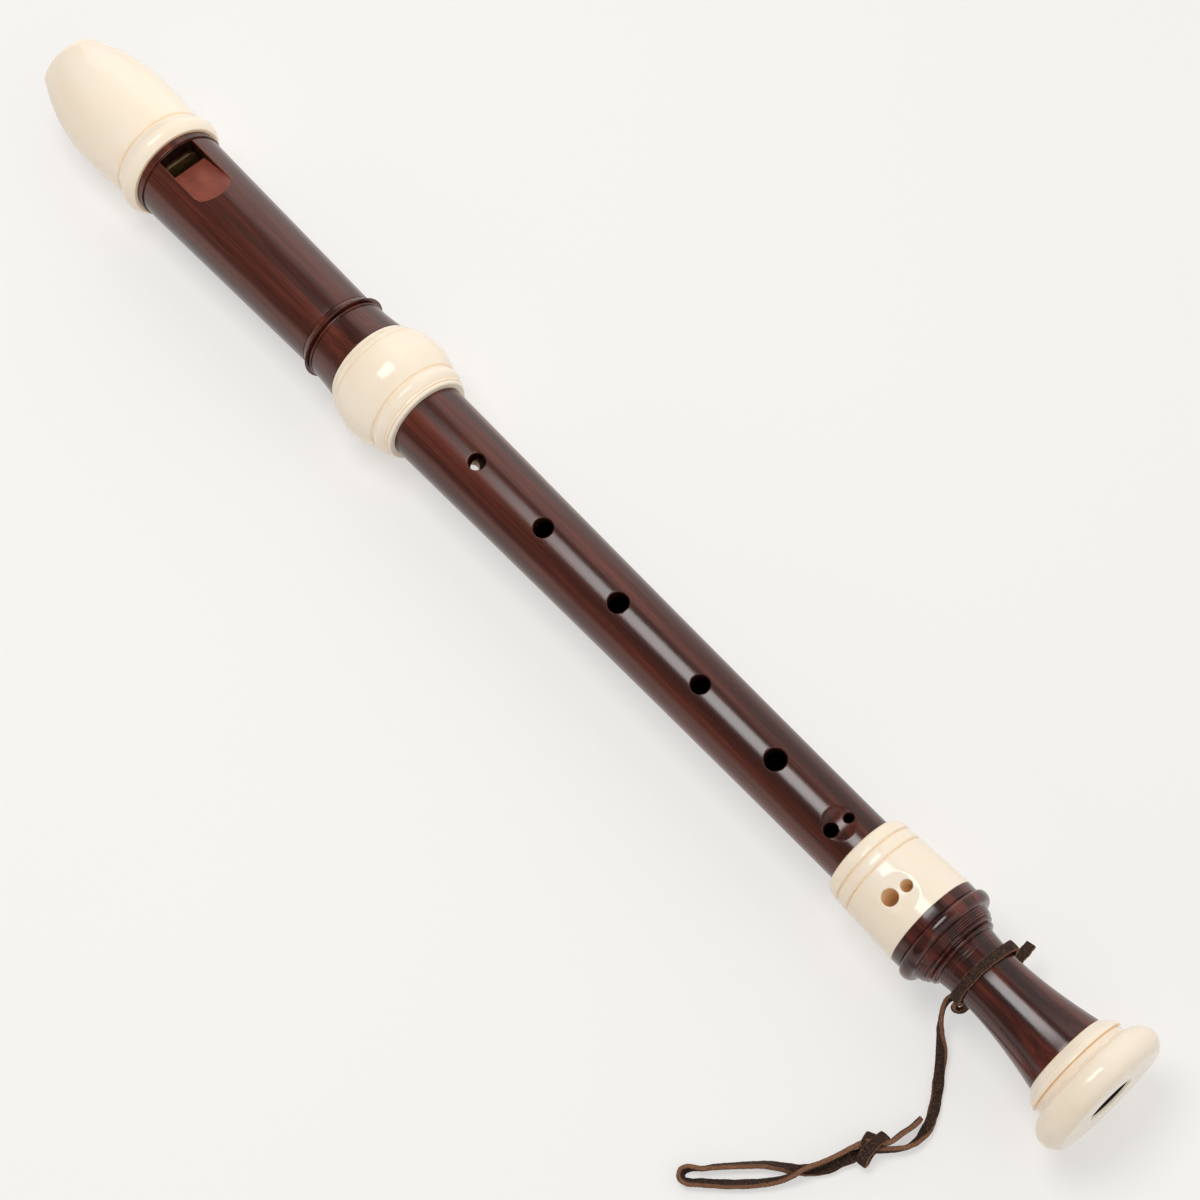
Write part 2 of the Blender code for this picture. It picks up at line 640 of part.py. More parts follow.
def make_foot_end_ring(parent, ivory):
    step_end = END_RING_TOP + END_STEP_LENGTH
    outer = []
    for step in range(5):
        share = step / 4
        radius = between(FLARE_END_R, END_STEP_R, math.sin(math.pi / 2 * share))
        outer.append((between(END_RING_TOP, step_end, share), radius))
    recess_end = step_end + END_RECESS_LENGTH
    outer += [(step_end, END_RECESS_R), (recess_end, END_RECESS_R)]
    for step in range(1, 6):
        angle = math.pi / 2 * step / 5
        station = END_RIM_STATION - (END_RIM_STATION - recess_end) * math.cos(angle)
        outer.append((station, between(END_RECESS_R, END_RIM_R, math.sin(angle))))
    for step in range(1, 6):
        angle = math.pi / 2 * step / 5
        outer.append((END_RIM_STATION + END_RIM_CREST * math.sin(angle),
                      between(END_FACE_R, END_RIM_R, math.cos(angle))))
    spigot_end = END_RING_TOP + END_SPIGOT_LENGTH + SEAT_GAP
    mouth_round = BELL_MOUTH_R - FOOT_BORE_R
    inner = [
        (FOOT_END, BELL_MOUTH_R), (FOOT_END - mouth_round, FOOT_BORE_R), (spigot_end, FOOT_BORE_R),
        (spigot_end, END_SPIGOT_R + SEAT_GAP), (END_RING_TOP, END_SPIGOT_R + SEAT_GAP),
    ]
    turned("foot_end_ring", outer + inner, ivory, parent)


def smooth_route(route, steps=2):
    """A smooth curve through the route's points, with handles a third of the way to their neighbours."""
    points = [Vector(point) * MM for point in route]
    slopes = []
    for index, point in enumerate(points):
        before = points[max(index - 1, 0)]
        after = points[min(index + 1, len(points) - 1)]
        slopes.append((after - before).normalized())
    line = [points[0]]
    for index in range(len(points) - 1):
        start, end = points[index], points[index + 1]
        reach = (end - start).length / 3
        span = interpolate_bezier(start, start + slopes[index] * reach, end - slopes[index + 1] * reach,
                                  end, steps + 1)
        line += span[1:]
    return line


def make_cord(name, route, leather, parent):
    curve = bpy.data.curves.new(name, "CURVE")
    curve.dimensions = "3D"
    curve.bevel_depth = LACE_D / 2
    curve.bevel_resolution = 2
    curve.use_fill_caps = True
    line = smooth_route(route)
    spline = curve.splines.new("POLY")
    spline.points.add(len(line) - 1)
    for point, place in zip(spline.points, line):
        point.co = (*place, 1.0)
    curve.materials.append(leather)
    cord = bpy.data.objects.new(name, curve)
    cord.parent = parent
    bpy.context.scene.collection.objects.link(cord)


def make_knot(parent, leather):
    shape = bmesh.new()
    bmesh.ops.create_icosphere(shape, subdivisions=3, radius=0.5)
    knot = finish_mesh("thong_knot", shape, leather, parent)
    knot.location = Vector(KNOT_PLACE) * MM
    knot.rotation_euler = (0, 0, KNOT_HEADING)
    knot.scale = (KNOT_LENGTH, KNOT_WIDTH, KNOT_HEIGHT)


def make_noose(parent, leather):
    """The lace's turn round the neck, just clear of the wood on its wider side."""
    top = NOOSE - LACE_WIDTH / 2
    end = NOOSE + LACE_WIDTH / 2
    inside = neck_radius(top) + SEAT_GAP
    outside = inside + LACE_THICKNESS
    edge = 0.25 * LACE_THICKNESS
    profile = [
        (top, outside - edge), (top + edge, outside), (end - edge, outside), (end, outside - edge),
        (end, inside), (top, inside),
    ]
    turned("thong_noose", profile, leather, parent)


def build():
    clear_scene()
    brown_head = make_material("head_brown", 78, 38, 30, 0.25)
    brown_middle = make_material("middle_brown", 76, 36, 28, 0.25)
    brown_foot = make_material("foot_brown", 72, 32, 25, 0.22)
    ivory = make_material("ivory", 244, 230, 207, 0.35)
    block = make_material("block_tan", 120, 92, 60, 0.5)
    leather = make_material("thong_leather", 66, 48, 36, 0.85)

    recorder = make_empty("recorder")
    recorder.location = (-FOOT_END * math.cos(REST_TILT) / 2, 0.0, TIP_HEIGHT)
    recorder.rotation_euler = (0.0, -(math.pi / 2 + REST_TILT), 0.0)
    head = make_empty("head_joint", recorder)
    middle = make_empty("middle_joint", recorder, MIDDLE_TURN)
    thong_ring = make_empty("thong_ring", recorder)
    foot = make_empty("foot_joint", recorder, FOOT_TURN)
    floor = make_empty("thong_floor")
    floor.location = ((NOOSE - FOOT_END / 2) * math.cos(REST_TILT), 0.0, 0.0)

    make_beak_cap(head, ivory)
    make_block(head, block)
    make_head_tube(head, brown_head)
    make_head_ring(head, ivory)
    make_middle_tube(middle, brown_middle)
    make_thumb_bush(middle, ivory)
    make_foot_sleeve(foot, ivory)
    make_foot_body(foot, brown_foot)
    make_foot_end_ring(foot, ivory)
    make_noose(thong_ring, leather)
    make_cord("thong_hitch", HITCH_ROUTE, leather, floor)
    make_cord("thong_tail", TAIL_ROUTE, leather, floor)
    make_cord("thong_cord", CORD_ROUTE, leather, floor)
    make_knot(floor, leather)
    make_cord("thong_knot_tail", KNOT_TAIL_ROUTE, leather, floor)
    make_cord("thong_finger_loop", FINGER_LOOP_ROUTE, leather, floor)


build()
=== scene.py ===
"""The looks of an alto recorder that lies window up on a pale floor, with a leather thong at its foot.

Lengths are in millimetres unless a comment says otherwise. A turned piece is drawn standing, beak up:
its stations run down the bore from the beak's tip, its front faces local +X, and its object's matrix
lays it down. An outline's points are (station, radius), or (station, radius, rounding) at a corner.
Angles round the bore are measured from the front, positive towards +Y.
"""

import random
from math import asin, ceil, cos, dist, exp, hypot, pi, radians, sin, sqrt

import bmesh
import bpy
from mathutils import Matrix, Quaternion, Vector
from mathutils.geometry import interpolate_bezier


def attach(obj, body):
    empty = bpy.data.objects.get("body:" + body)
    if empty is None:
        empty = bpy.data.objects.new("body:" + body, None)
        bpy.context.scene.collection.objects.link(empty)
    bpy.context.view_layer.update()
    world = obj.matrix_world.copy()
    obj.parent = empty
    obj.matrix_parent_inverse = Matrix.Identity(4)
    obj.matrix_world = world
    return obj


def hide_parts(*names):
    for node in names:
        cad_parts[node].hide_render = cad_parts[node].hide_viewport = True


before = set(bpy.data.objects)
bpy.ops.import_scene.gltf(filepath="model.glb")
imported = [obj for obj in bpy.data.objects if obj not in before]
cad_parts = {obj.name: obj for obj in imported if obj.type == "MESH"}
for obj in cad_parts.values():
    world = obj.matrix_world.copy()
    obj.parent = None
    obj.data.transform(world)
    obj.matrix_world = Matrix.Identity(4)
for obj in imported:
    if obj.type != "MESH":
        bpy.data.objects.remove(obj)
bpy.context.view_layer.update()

MM = 0.001
UPWARD = Vector((0.0, 0.0, 1.0))
SHARP_ANGLE = radians(38)

# How the instrument lies
TIP = Vector((-237.494, 0.0, 18.424))
REST_TILT = radians(0.4108)
MIDDLE_TURN = radians(10)
THUMB_TURN = MIDDLE_TURN + pi
FOOT_TURN = radians(20)

# Steps round a turned piece: even, or fine within a reach of the front, in degrees, and coarse behind
TURN_STEPS = 160
FRONT_REACH = 38
FRONT_STEPS = 76
BACK_STEPS = 71

# A corner's rounding: its steps, and the most that it takes of the outline's step beside it
ROUND_STEPS = 5
ROUND_SHARE = 0.45

# Stations of the head
BEAK_CREST = 29.0
CAP_GROOVE = 47.9
CAP_BEAD = 52.9
CAP_END = 56.57
COLLAR_TOP = 56.6
WINDOW_TOP = 59.2
HEAD_TOP = 59.8
LABIUM = 64.8
RAMP_END = 83.2
FLANGE_TOP = 140.3
HEAD_FLANGE = 141.0
FLARE_TOP = 145.4
HEAD_SEAT = 156.38
HEAD_RING_TOP = 156.4
BULB_GROOVES = (158.2, 160.9)
BULB_CREST = 168.6
BULB_END = 177.7
BULB_NECK = 177.5

# Stations of the middle and the foot
SHOULDER = 182.9
MIDDLE_TOP = 184.4
FOOT_TOP = 377.9
SLEEVE_GROOVES = (382.5, 386.7)
CYLINDER_TOP = 387.0
FOOT_BODY_TOP = 405.6
FOOT_BEAD_TOP = 409.15
BEAD_GROOVES = (414.05, 414.7, 415.35)
NECK_TOP = 419.7
NECK = 429.6
END_RING_TOP = 457.9
END_STEP = 462.6
END_GROOVES = (460.4, 465.7)
RIM = 470.2
FOOT_END = 475.0

# Small beads of the foot: start, end, radius at each, and the height of the crown
SMALL_BEADS = ((416.3, 417.2, 12.5, 12.3, 0.4), (417.4, 419.05, 11.2, 10.95, 0.75))

# Outer radii
BEAK_CREST_R = 18.4
CAP_BEAD_R = 18.85
HEAD_TOP_R = 15.62
HEAD_FLANGE_R = 13.97
FLARE_TOP_R = 14.42
HEAD_SEAT_R = 15.5
BULB_R = 19.5
MIDDLE_TOP_R = 13.25
MIDDLE_END_R = 11.15
MIDDLE_POWER = 1.5
CYLINDER_TOP_R = 14.8
CYLINDER_END_R = 15.5
FOOT_BEAD_R = 2.1
FOOT_BEAD_POWER = 0.6
NECK_TOP_R = 10.4
NECK_R = 9.74
NECK_END_R = 13.5
NECK_POWER = 1.7
END_STEP_R = 16.2
RIM_R = 21.9

# Bore and sockets
HEAD_BORE_R = 9.8
SLEEVE_R = 14.0
SLEEVE_TOP = 40.0
HEAD_SPIGOT_R = 13.8
HEAD_SPIGOT_END = 182.6
HEAD_SOCKET_R = 11.7
HEAD_SOCKET_TOP = 158.6
TENON_R = 11.5
TENON_TOP = 158.9
MIDDLE_BORE_TOP_R = 9.2
MIDDLE_BORE_END_R = 6.6
FOOT_TENON_R = 9.8
FOOT_SHOULDER = 379.9
FOOT_TENON_END = 390.9
FOOT_BORE_R = 6.5
FOOT_SOCKET_R = 10.0
FOOT_SPIGOT_R = 10.0
FOOT_SPIGOT_TOP = 401.9
END_SPIGOT_R = 10.4
END_SPIGOT_END = 464.9
BELL_MOUTH_R = 7.9
TOUCH = 0.02
SEAT_GAP = 0.3

# Beak, windway and block
BEAK_CUT_R = 62.0
BEAK_CUT_LENGTH = 38.0
BEAK_CUT_HALF = 40.0
BEAK_CUT_STEPS = 360
LOWER_LIP = 2.4
WINDWAY_START = -2.0
WINDWAY_WIDTH = 13.1
WINDWAY_FLOOR = 8.6
WINDWAY_TIP_DROP = 0.8
WINDWAY_HEIGHT = 1.4
BLOCK_HALF = 5.6
BLOCK_END = WINDOW_TOP + 0.2
BLOCK_CHAMFER = 0.5
BLOCK_CHAMFER_SLOPE = 0.8
BLOCK_LEDGE = 0.02

# Window: the ramp from the labium, the walls with their rounded edges, and how far the cut reaches
LABIUM_R = 9.95
RAMP_DROP = 0.6
RAMP_FILLET = 0.4
WINDOW_HALF = WINDWAY_WIDTH / 2
WINDOW_EDGE = 0.35
WINDOW_ARC = [radians(angle) for angle in (75, 55, 35, 15, 0)]
WINDOW_DEPTH_R = 4.9
WINDOW_CEILING = 18.0
WINDOW_END = 88.0

# Finger holes, each (station, diameter), and the thumb hole with its bush
FINGER_HOLES = ((211.6, 5.5), (242.1, 6.3), (275.7, 6.6), (311.4, 5.9), (343.2, 6.8))
HOLE_EDGE = 0.4
HOLE_ARC = [radians(angle) for angle in (0, 18, 36, 54, 70)]
HOLE_SIDES = 44
HOLE_CLEARANCE = 4.0
THUMB_STATION = 201.6
THUMB_HOLE_R = 3.4
THUMB_MOUTH_R = 2.4
THUMB_BUSH_R = 5.0
THUMB_SEAT_R = THUMB_BUSH_R + 0.1
THUMB_SEAT_EDGE = 0.15
THUMB_SIDES = 64

# Double holes
LOW_PAIR = {"station": 369.6, "spread": 6.1, "wide": 4.4, "narrow": 3.1, "saddle": 1.2, "lean": 0.0}
FOOT_PAIR = {"station": 395.9, "spread": 5.6, "wide": 5.1, "narrow": 3.65, "saddle": 1.05, "lean": 0.5}
PAIR_STAGGER = 0.5
PAIR_EDGE = 0.3
SADDLE_EDGE = 0.35
SADDLE_REACH = 7.0
SKIN = 0.05

# Lace, and how uneven it is: shares of its width and thickness, and the noise on its points
LACE_WIDTH = 3.2
LACE_THICKNESS = 1.4
LACE_CORNER = 0.32
LACE_CROWN = 0.06
LACE_STEPS = 8
LACE_SWELL = 0.05
LACE_WAVE = 0.55
LACE_WIDTH_NOISE = 0.02
LACE_THINNEST = 0.97
LACE_THICKENING = 0.06
LACE_EDGE_NOISE = 0.05
LACE_FACE_NOISE = 0.04
LACE_TIP = 0.35
LACE_ORIGIN = Vector((188.795, 0.0, 0.0))

# Noose and knot
NOOSE_STATION = 426.6
NOOSE_STEPS = 96
NOOSE_SLANT = 0.45
NOOSE_FIT = 1.2
NOOSE_GAP = 0.12
NOOSE_LUMP = 0.9
NOOSE_LUMP_ANGLE = radians(62)
NOOSE_LUMP_REACH = 0.35
KNOT_STEPS = 64
KNOT_TWIST = 0.35

# Camera, in metres; its sensor and lens in millimetres
CAMERA_SENSOR = 36.0
CAMERA_LENS = 81.0
CAMERA_PLACE = (0.30861, -0.23176, 0.74386)
CAMERA_FORWARD = (-0.34511, 0.28436, -0.89445)
CAMERA_ROLL = radians(2.314)

# Soft boxes, in metres: place, target, width, height, brightness (1 is white), and if gloss shows them
LIGHTS = {
    "overhead_box": ((-0.195, -0.14, 1.05), (-0.195, -0.14, 0.0), 0.42, 0.56, 8.5, True),
    "side_wall": ((-1.35, 0.83, 0.6), (-1.35, -0.085, 0.196), 2.0, 1.31, 1.03, True),
    "far_wall": ((0.65, 0.83, 0.6), (0.65, -0.085, 0.196), 2.0, 1.31, 0.58, True),
    "front_fill": ((1.1, -0.15, 0.95), (0.0, 0.0, 0.05), 1.7, 1.6, 0.64, True),
    "low_fill": ((0.0, -1.2, 0.4), (0.0, 0.0, 0.02), 1.8, 0.6, 0.55, False),
}
WORLD_GREY = (0.19, 0.19, 0.19, 1.0)

# Floor: its height, its half width in metres, and the share by which it is lifted towards white
FLOOR_Z = -0.12
FLOOR_HALF = 6.0
FLOOR_LIFT = 0.55


# Materials


def srgb(red, green, blue):
    """A colour as it is seen, in bytes, to the linear values that a shader takes."""
    shares = [value / 255 for value in (red, green, blue)]
    return tuple(s / 12.92 if s <= 0.04045 else ((s + 0.055) / 1.055) ** 2.4 for s in shares) + (1.0,)


WHITE = (1.0, 1.0, 1.0, 1.0)
BROWN = (srgb(61, 24, 14), srgb(80, 34, 21), srgb(105, 48, 32))
FOOT_BROWN = (srgb(46, 18, 12), srgb(70, 29, 20), srgb(106, 46, 33))
IVORY = (srgb(250, 232, 208), srgb(252, 237, 217))
# Painted shade: the warm, darker tint that the ivory takes in its grooves and along its edges
IVORY_PAINTED_SHADE = srgb(244, 204, 150)
# Painted shade: a warmer, more orange copy of the ivory for its inner walls, holes and windway, standing in
# for the warm shade in there
SHADED_INSIDE_IVORY = (srgb(250, 206, 152), srgb(253, 214, 164))
SUEDE = (srgb(34, 23, 17), srgb(57, 40, 31), srgb(98, 70, 54))
CUT_LEATHER = (srgb(104, 68, 47), srgb(138, 96, 70), srgb(164, 120, 90))
FLOOR_PALE = srgb(248, 247, 245)
BACKDROP = srgb(245, 244, 242)

# How far a noise is stretched: not at all, or along the bore
EVEN = (1.0, 1.0, 1.0)
STREAKED = (1.0, 1.0, 0.022)


def fill(tree, node, inputs):
    """Fill a node's inputs, by name or number: each is linked to a socket or set to a value."""
    for name, value in inputs.items():
        if isinstance(value, bpy.types.NodeSocket):
            tree.links.new(value, node.inputs[name])
        else:
            node.inputs[name].default_value = value


def add_node(tree, kind, inputs):
    node = tree.nodes.new(f"ShaderNode{kind}")
    fill(tree, node, inputs)
    return node


def add_noise(tree, stretch, scale, detail):
    """Noise in the piece's own space, stretched along each axis."""
    place = add_node(tree, "TexCoord", {}).outputs["Object"]
    mapped = add_node(tree, "Mapping", {"Vector": place, "Scale": stretch}).outputs["Vector"]
    return add_node(tree, "TexNoise", {"Vector": mapped, "Scale": scale, "Detail": detail}).outputs["Fac"]


def add_ramp(tree, source, places, colours):
    ramp = add_node(tree, "ValToRGB", {"Fac": source})
    elements = ramp.color_ramp.elements
    while len(elements) < len(places):
        elements.new(0.5)
    for element, place, colour in zip(elements, places, colours):
        element.position = place
        element.color = colour
    return ramp.outputs["Color"]


def add_mix(tree, share, first, second, mode="MIX"):
    """Mix two colours. Their sockets share their names with others, so they go by number."""
    mix = add_node(tree, "Mix", {})
    mix.data_type = "RGBA"
    mix.blend_type = mode
    fill(tree, mix, {"Factor": share, 6: first, 7: second})
    return mix.outputs[2]


def add_range(tree, source, low, high):
    """Map a value between 0 and 1 to another range."""
    return add_node(tree, "MapRange", {"Value": source, "To Min": low, "To Max": high}).outputs["Result"]


def add_attribute(tree, name):
    node = add_node(tree, "Attribute", {})
    node.attribute_name = name
    return node.outputs["Fac"]


def add_lift(tree, share, shader, pale, output):
    """Mix a shader with a pale one by a share, and make the mix the tree's surface."""
    mix = add_node(tree, "MixShader", {0: share, 1: shader, 2: pale})
    fill(tree, tree.nodes[output], {"Surface": mix.outputs["Shader"]})


def new_material(name, draw, **details):
    """A material whose nodes are drawn by a function."""
    material = bpy.data.materials.new(name)
    material.use_nodes = True
    draw(material.node_tree, **details)
    return material


def add_skin(tree, colour, source, roughness, bump, specular=0.5):
    """Set a material's colour, and take its roughness, (low, high), and its bump from one noise."""
    height = add_node(tree, "Bump", {"Height": source, "Strength": bump[0], "Distance": bump[1]})
    fill(tree, tree.nodes["Principled BSDF"], {
        "Base Color": colour, "Roughness": add_range(tree, source, *roughness),
        "Normal": height.outputs["Normal"], "Specular IOR Level": specular,
    })


def brown_nodes(tree, colours, roughness):
    """Glossy brown plastic with a grain of soft streaks along the bore."""
    streaks = add_noise(tree, STREAKED, 190.0, 2.0)
    lines = add_noise(tree, STREAKED, 2100.0, 5.0)
    base = add_ramp(tree, streaks, (0.36, 0.5, 0.66), colours)
    shade = add_ramp(tree, lines, (0.36, 0.6), ((0.5, 0.45, 0.42, 1.0), WHITE))
    colour = add_mix(tree, 0.75, base, shade, "MULTIPLY")
    add_skin(tree, colour, lines, (roughness - 0.01, roughness + 0.02), (0.006, 0.0002))


def cut_brown_nodes(tree):
    """The bare plastic of a cut face: redder and duller than the outside, with fine tool marks."""
    marks = add_noise(tree, (0.25, 1.0, 1.0), 1500.0, 4.0)
    patches = add_noise(tree, (1.0, 1.0, 0.5), 260.0, 3.0)
    base = add_ramp(tree, patches, (0.3, 0.7), (srgb(118, 53, 36), srgb(146, 71, 50)))
    shade = add_ramp(tree, marks, (0.3, 0.65), ((0.8, 0.78, 0.76, 1.0), WHITE))
    colour = add_mix(tree, 0.7, base, shade, "MULTIPLY")
    add_skin(tree, colour, marks, (0.42, 0.6), (0.15, 0.0001))


def bore_shade_nodes(tree):
    """The inside of the bore and the holes: a dark brown of painted shade, with the streaks of the reamer
    along it.
    """
    streaks = add_noise(tree, (1.0, 1.0, 0.05), 500.0, 3.0)
    base = add_ramp(tree, streaks, (0.35, 0.65), (srgb(28, 13, 9), srgb(48, 25, 18)))
    add_skin(tree, base, streaks, (0.4, 0.6), (0.1, 0.0001), 0.15)


def ivory_nodes(tree, colours, seam, depth_weight=0.15, depth=0.002):
    """Ivory plastic with a faint cloud, a satin skin, and a warm painted shade in its grooves and along its
    edges.
    """
    cloud = add_noise(tree, (1.0, 1.0, 0.35), 70.0, 3.0)
    skin = add_noise(tree, EVEN, 2600.0, 2.0)
    base = add_ramp(tree, cloud, (0.3, 0.62), colours)
    # Painted shade: grooves and edges are tinted warm and darker, standing in for the shade in them
    colour = add_mix(tree, add_attribute(tree, "seam"), base, seam)
    add_skin(tree, colour, skin, (0.08, 0.14), (0.02, 0.0001), 0.35)
    fill(tree, tree.nodes["Principled BSDF"], {
        "Subsurface Weight": depth_weight, "Subsurface Radius": (1.0, 0.7, 0.5), "Subsurface Scale": depth,
    })


def block_nodes(tree):
    """The block's tan plastic, with fine lines along the bore."""
    grain = add_noise(tree, (1.0, 1.0, 0.06), 700.0, 4.0)
    base = add_ramp(tree, grain, (0.3, 0.7), (srgb(88, 64, 34), srgb(130, 97, 56)))
    add_skin(tree, base, grain, (0.42, 0.58), (0.1, 0.0001))


def leather_nodes(tree):
    """Dark suede with a nap of short fibres, and paler raw leather on the cut edges."""
    nap = add_noise(tree, EVEN, 2400.0, 5.0)
    patches = add_noise(tree, EVEN, 420.0, 3.0)
    face = add_ramp(tree, nap, (0.36, 0.52, 0.68), SUEDE)
    edge = add_ramp(tree, nap, (0.3, 0.55, 0.8), CUT_LEATHER)
    colour = add_mix(tree, add_attribute(tree, "cut_edge"), face, edge)
    shade = add_ramp(tree, patches, (0.3, 0.7), ((0.8, 0.8, 0.8, 1.0), WHITE))
    add_skin(tree, add_mix(tree, 0.8, colour, shade, "MULTIPLY"), nap, (0.9, 0.9), (0.5, 0.0002), 0.25)


def floor_nodes(tree):
    """A pale floor that the camera and mirrors see lifted towards white, with the object's shadow on it."""
    weave = add_noise(tree, EVEN, 3.0, 2.0)
    base = add_ramp(tree, weave, (0.3, 0.7), (srgb(242, 238, 233), srgb(244, 241, 237)))
    shader = tree.nodes["Principled BSDF"]
    fill(tree, shader, {"Base Color": base, "Roughness": 0.9, "Specular IOR Level": 0.1})
    pale = add_node(tree, "Emission", {"Color": FLOOR_PALE})
    rays = add_node(tree, "LightPath", {}).outputs
    either = add_node(tree, "Math", {0: rays["Is Camera Ray"], 1: rays["Is Glossy Ray"]})
    either.operation = "MAXIMUM"
    share = add_range(tree, either.outputs["Value"], 0.0, FLOOR_LIFT)
    add_lift(tree, share, shader.outputs["BSDF"], pale.outputs["Emission"], "Material Output")


# Outlines


def between(start, end, share):
    return start + (end - start) * share


def spread(start, end, count):
    """Evenly spaced values from start to end, in a number of steps."""
    return [between(start, end, step / count) for step in range(count + 1)]


def curve(start, start_r, end, end_r, power=2):
    """The radius at a station: a taper for a power of 1, and for more a curve that is flat at its start."""
    return lambda station: start_r + (end_r - start_r) * ((station - start) / (end - start)) ** power


def sampled(start, end, radius_at, count):
    """Points of an outline along a curve that gives the radius at a station."""
    return [(station, radius_at(station)) for station in spread(start, end, count)]


def rounded(corners):
    """Points of an outline with its corners rounded, apart from the first and the last."""
    points = []
    for index, corner in enumerate(corners):
        here = Vector(corner[:2])
        if len(corner) == 2 or index in (0, len(corners) - 1):
            points.append((here.x, here.y))
            continue
        size = corner[2]
        before = Vector(corners[index - 1][:2]) - here
        after = Vector(corners[index + 1][:2]) - here
        start = here + before.normalized() * min(size, ROUND_SHARE * before.length)
        end = here + after.normalized() * min(size, ROUND_SHARE * after.length)
        for share in spread(0, 1, ROUND_STEPS):
            point = start.lerp(here, share).lerp(here.lerp(end, share), share)
            points.append((point.x, point.y))
    return points


def bead(start, end, start_r, end_r, crown, count):
    """Points of a bead between two stations, past its first point."""
    shares = spread(0, 1, count)[1:]
    return [
        (between(start, end, share), between(start_r, end_r, share) + crown * sin(pi * share))
        for share in shares
    ]


def densified(points, spots, fine, coarse):
    """Split an outline's long steps: to fine near the spots, (station, reach), and to coarse elsewhere."""
    result = [points[0]]
    for start, end in zip(points, points[1:]):
        length = dist(start, end)
        cuts = set(spread(0, 1, max(1, ceil(length / coarse))))
        if start[0] != end[0]:
            for share in spread(0, 1, max(1, ceil(length / fine))):
                station = between(start[0], end[0], share)
                if any(abs(station - place) <= reach for place, reach in spots):
                    cuts.add(share)
        for share in sorted(cuts)[1:]:
            result.append((between(start[0], end[0], share), between(start[1], end[1], share)))
    return result


def at_each(stations, *sizes):
    return [(station, *sizes) for station in stations]


def grooved(points, grooves):
    """Press fine rounded grooves, each (station, width, depth), into an outline."""
    result = []
    for station, radius in points:
        for place, width, depth in grooves:
            share = abs(station - place) / (width / 2)
            if share < 1:
                radius -= depth * cos(share * pi / 2) ** 2
        result.append((station, radius))
    return result


# Meshes


def lay_down(turn=0.0):
    """The matrix that lays a standing piece down, turned on the bore."""
    upright = Matrix.Rotation(-(pi / 2 + REST_TILT), 4, "Y")
    return Matrix.Translation(TIP * MM) @ upright @ Matrix.Rotation(-turn, 4, "Z")


def even_angles(count=TURN_STEPS):
    return [2 * pi * step / count for step in range(count)]


def front_angles():
    """Angles round the bore, close together at the front."""
    front = spread(-FRONT_REACH, FRONT_REACH, FRONT_STEPS)[:-1]
    back = spread(FRONT_REACH, 360 - FRONT_REACH, BACK_STEPS)[:-1]
    return [radians(angle) for angle in front + back]


def mesh_object(name, shape, materials, matrix):
    bmesh.ops.recalc_face_normals(shape, faces=shape.faces)
    mesh = bpy.data.meshes.new(name)
    shape.to_mesh(mesh)
    shape.free()
    for material in materials:
        mesh.materials.append(material)
    item = bpy.data.objects.new(name, mesh)
    item.matrix_world = matrix
    bpy.context.scene.collection.objects.link(item)
    return item


def bridge(shape, rings, closed):
    """Bands of faces from ring to ring, and flat ends unless the last ring meets the first."""
    bands = []
    for ring, following in zip(rings, rings[1:] + rings[:1] if closed else rings[1:]):
        corners = zip(ring, ring[1:] + ring[:1], following[1:] + following[:1], following)
        bands.append([shape.faces.new(corner) for corner in corners])
    ends = [] if closed else [shape.faces.new(ring) for ring in (rings[0], rings[-1][::-1])]
    return bands, ends


def turned(name, outer, inner, materials, matrix, angles):
    """Spin the outline of a piece's outside and inside; the inside takes the second material."""
    shape = bmesh.new()
    rings = []
    for angle in angles:
        ring = [(r * cos(angle) * MM, r * sin(angle) * MM, -s * MM) for s, r in outer + inner]
        rings.append([shape.verts.new(place) for place in ring])
    bands, _ = bridge(shape, rings, True)
    for faces in bands:
        for face in faces[len(outer):]:
            face.material_index = 1
    return mesh_object(name, shape, materials, matrix)


def loft(name, rings, materials, matrix, index=0, index_at=None, closed=False):
    """A solid through rings of points, with flat ends, or closed from its last ring to its first.

    Its faces carry a material index, or its sides what index_at gives for a ring's and a side's number.
    """
    shape = bmesh.new()
    made = [[shape.verts.new(Vector(point) * MM) for point in ring] for ring in rings]
    bands, ends = bridge(shape, made, closed)
    for face in ends:
        face.material_index = index
    for number, faces in enumerate(bands):
        for side, face in enumerate(faces):
            face.material_index = index_at(number, side) if index_at else index
    return mesh_object(name, shape, materials, matrix)


def cut(item, tools):
    """Cut an object with some tools and keep the result as its mesh."""
    for tool in tools:
        for material in item.data.materials:
            tool.data.materials.append(material)
        boolean = item.modifiers.new(tool.name, "BOOLEAN")
        boolean.object = tool
        boolean.operation = "DIFFERENCE"
        boolean.solver = "EXACT"
    bpy.context.view_layer.update()
    result = bpy.data.meshes.new_from_object(item.evaluated_get(bpy.context.evaluated_depsgraph_get()))
    item.modifiers.clear()
    previous = item.data
    item.data = result
    result.name = item.name
    bpy.data.meshes.remove(previous)
    for tool in tools:
        bpy.data.meshes.remove(tool.data)


def mark_painted_shade(item, shaded_lines, outside):
    """Write the painted shade of grooves and edges at each point beyond a radius, by how near it is to each,
    (station, reach, strength).
    """
    attribute = item.data.attributes.new("seam", "FLOAT", "POINT")
    for vertex, value in zip(item.data.vertices, attribute.data):
        station = -vertex.co.z / MM
        radius = hypot(vertex.co.x, vertex.co.y) / MM
        if radius >= outside:
            value.value = max(
                strength * exp(-((station - place) / reach) ** 2) for place, reach, strength in shaded_lines
            )


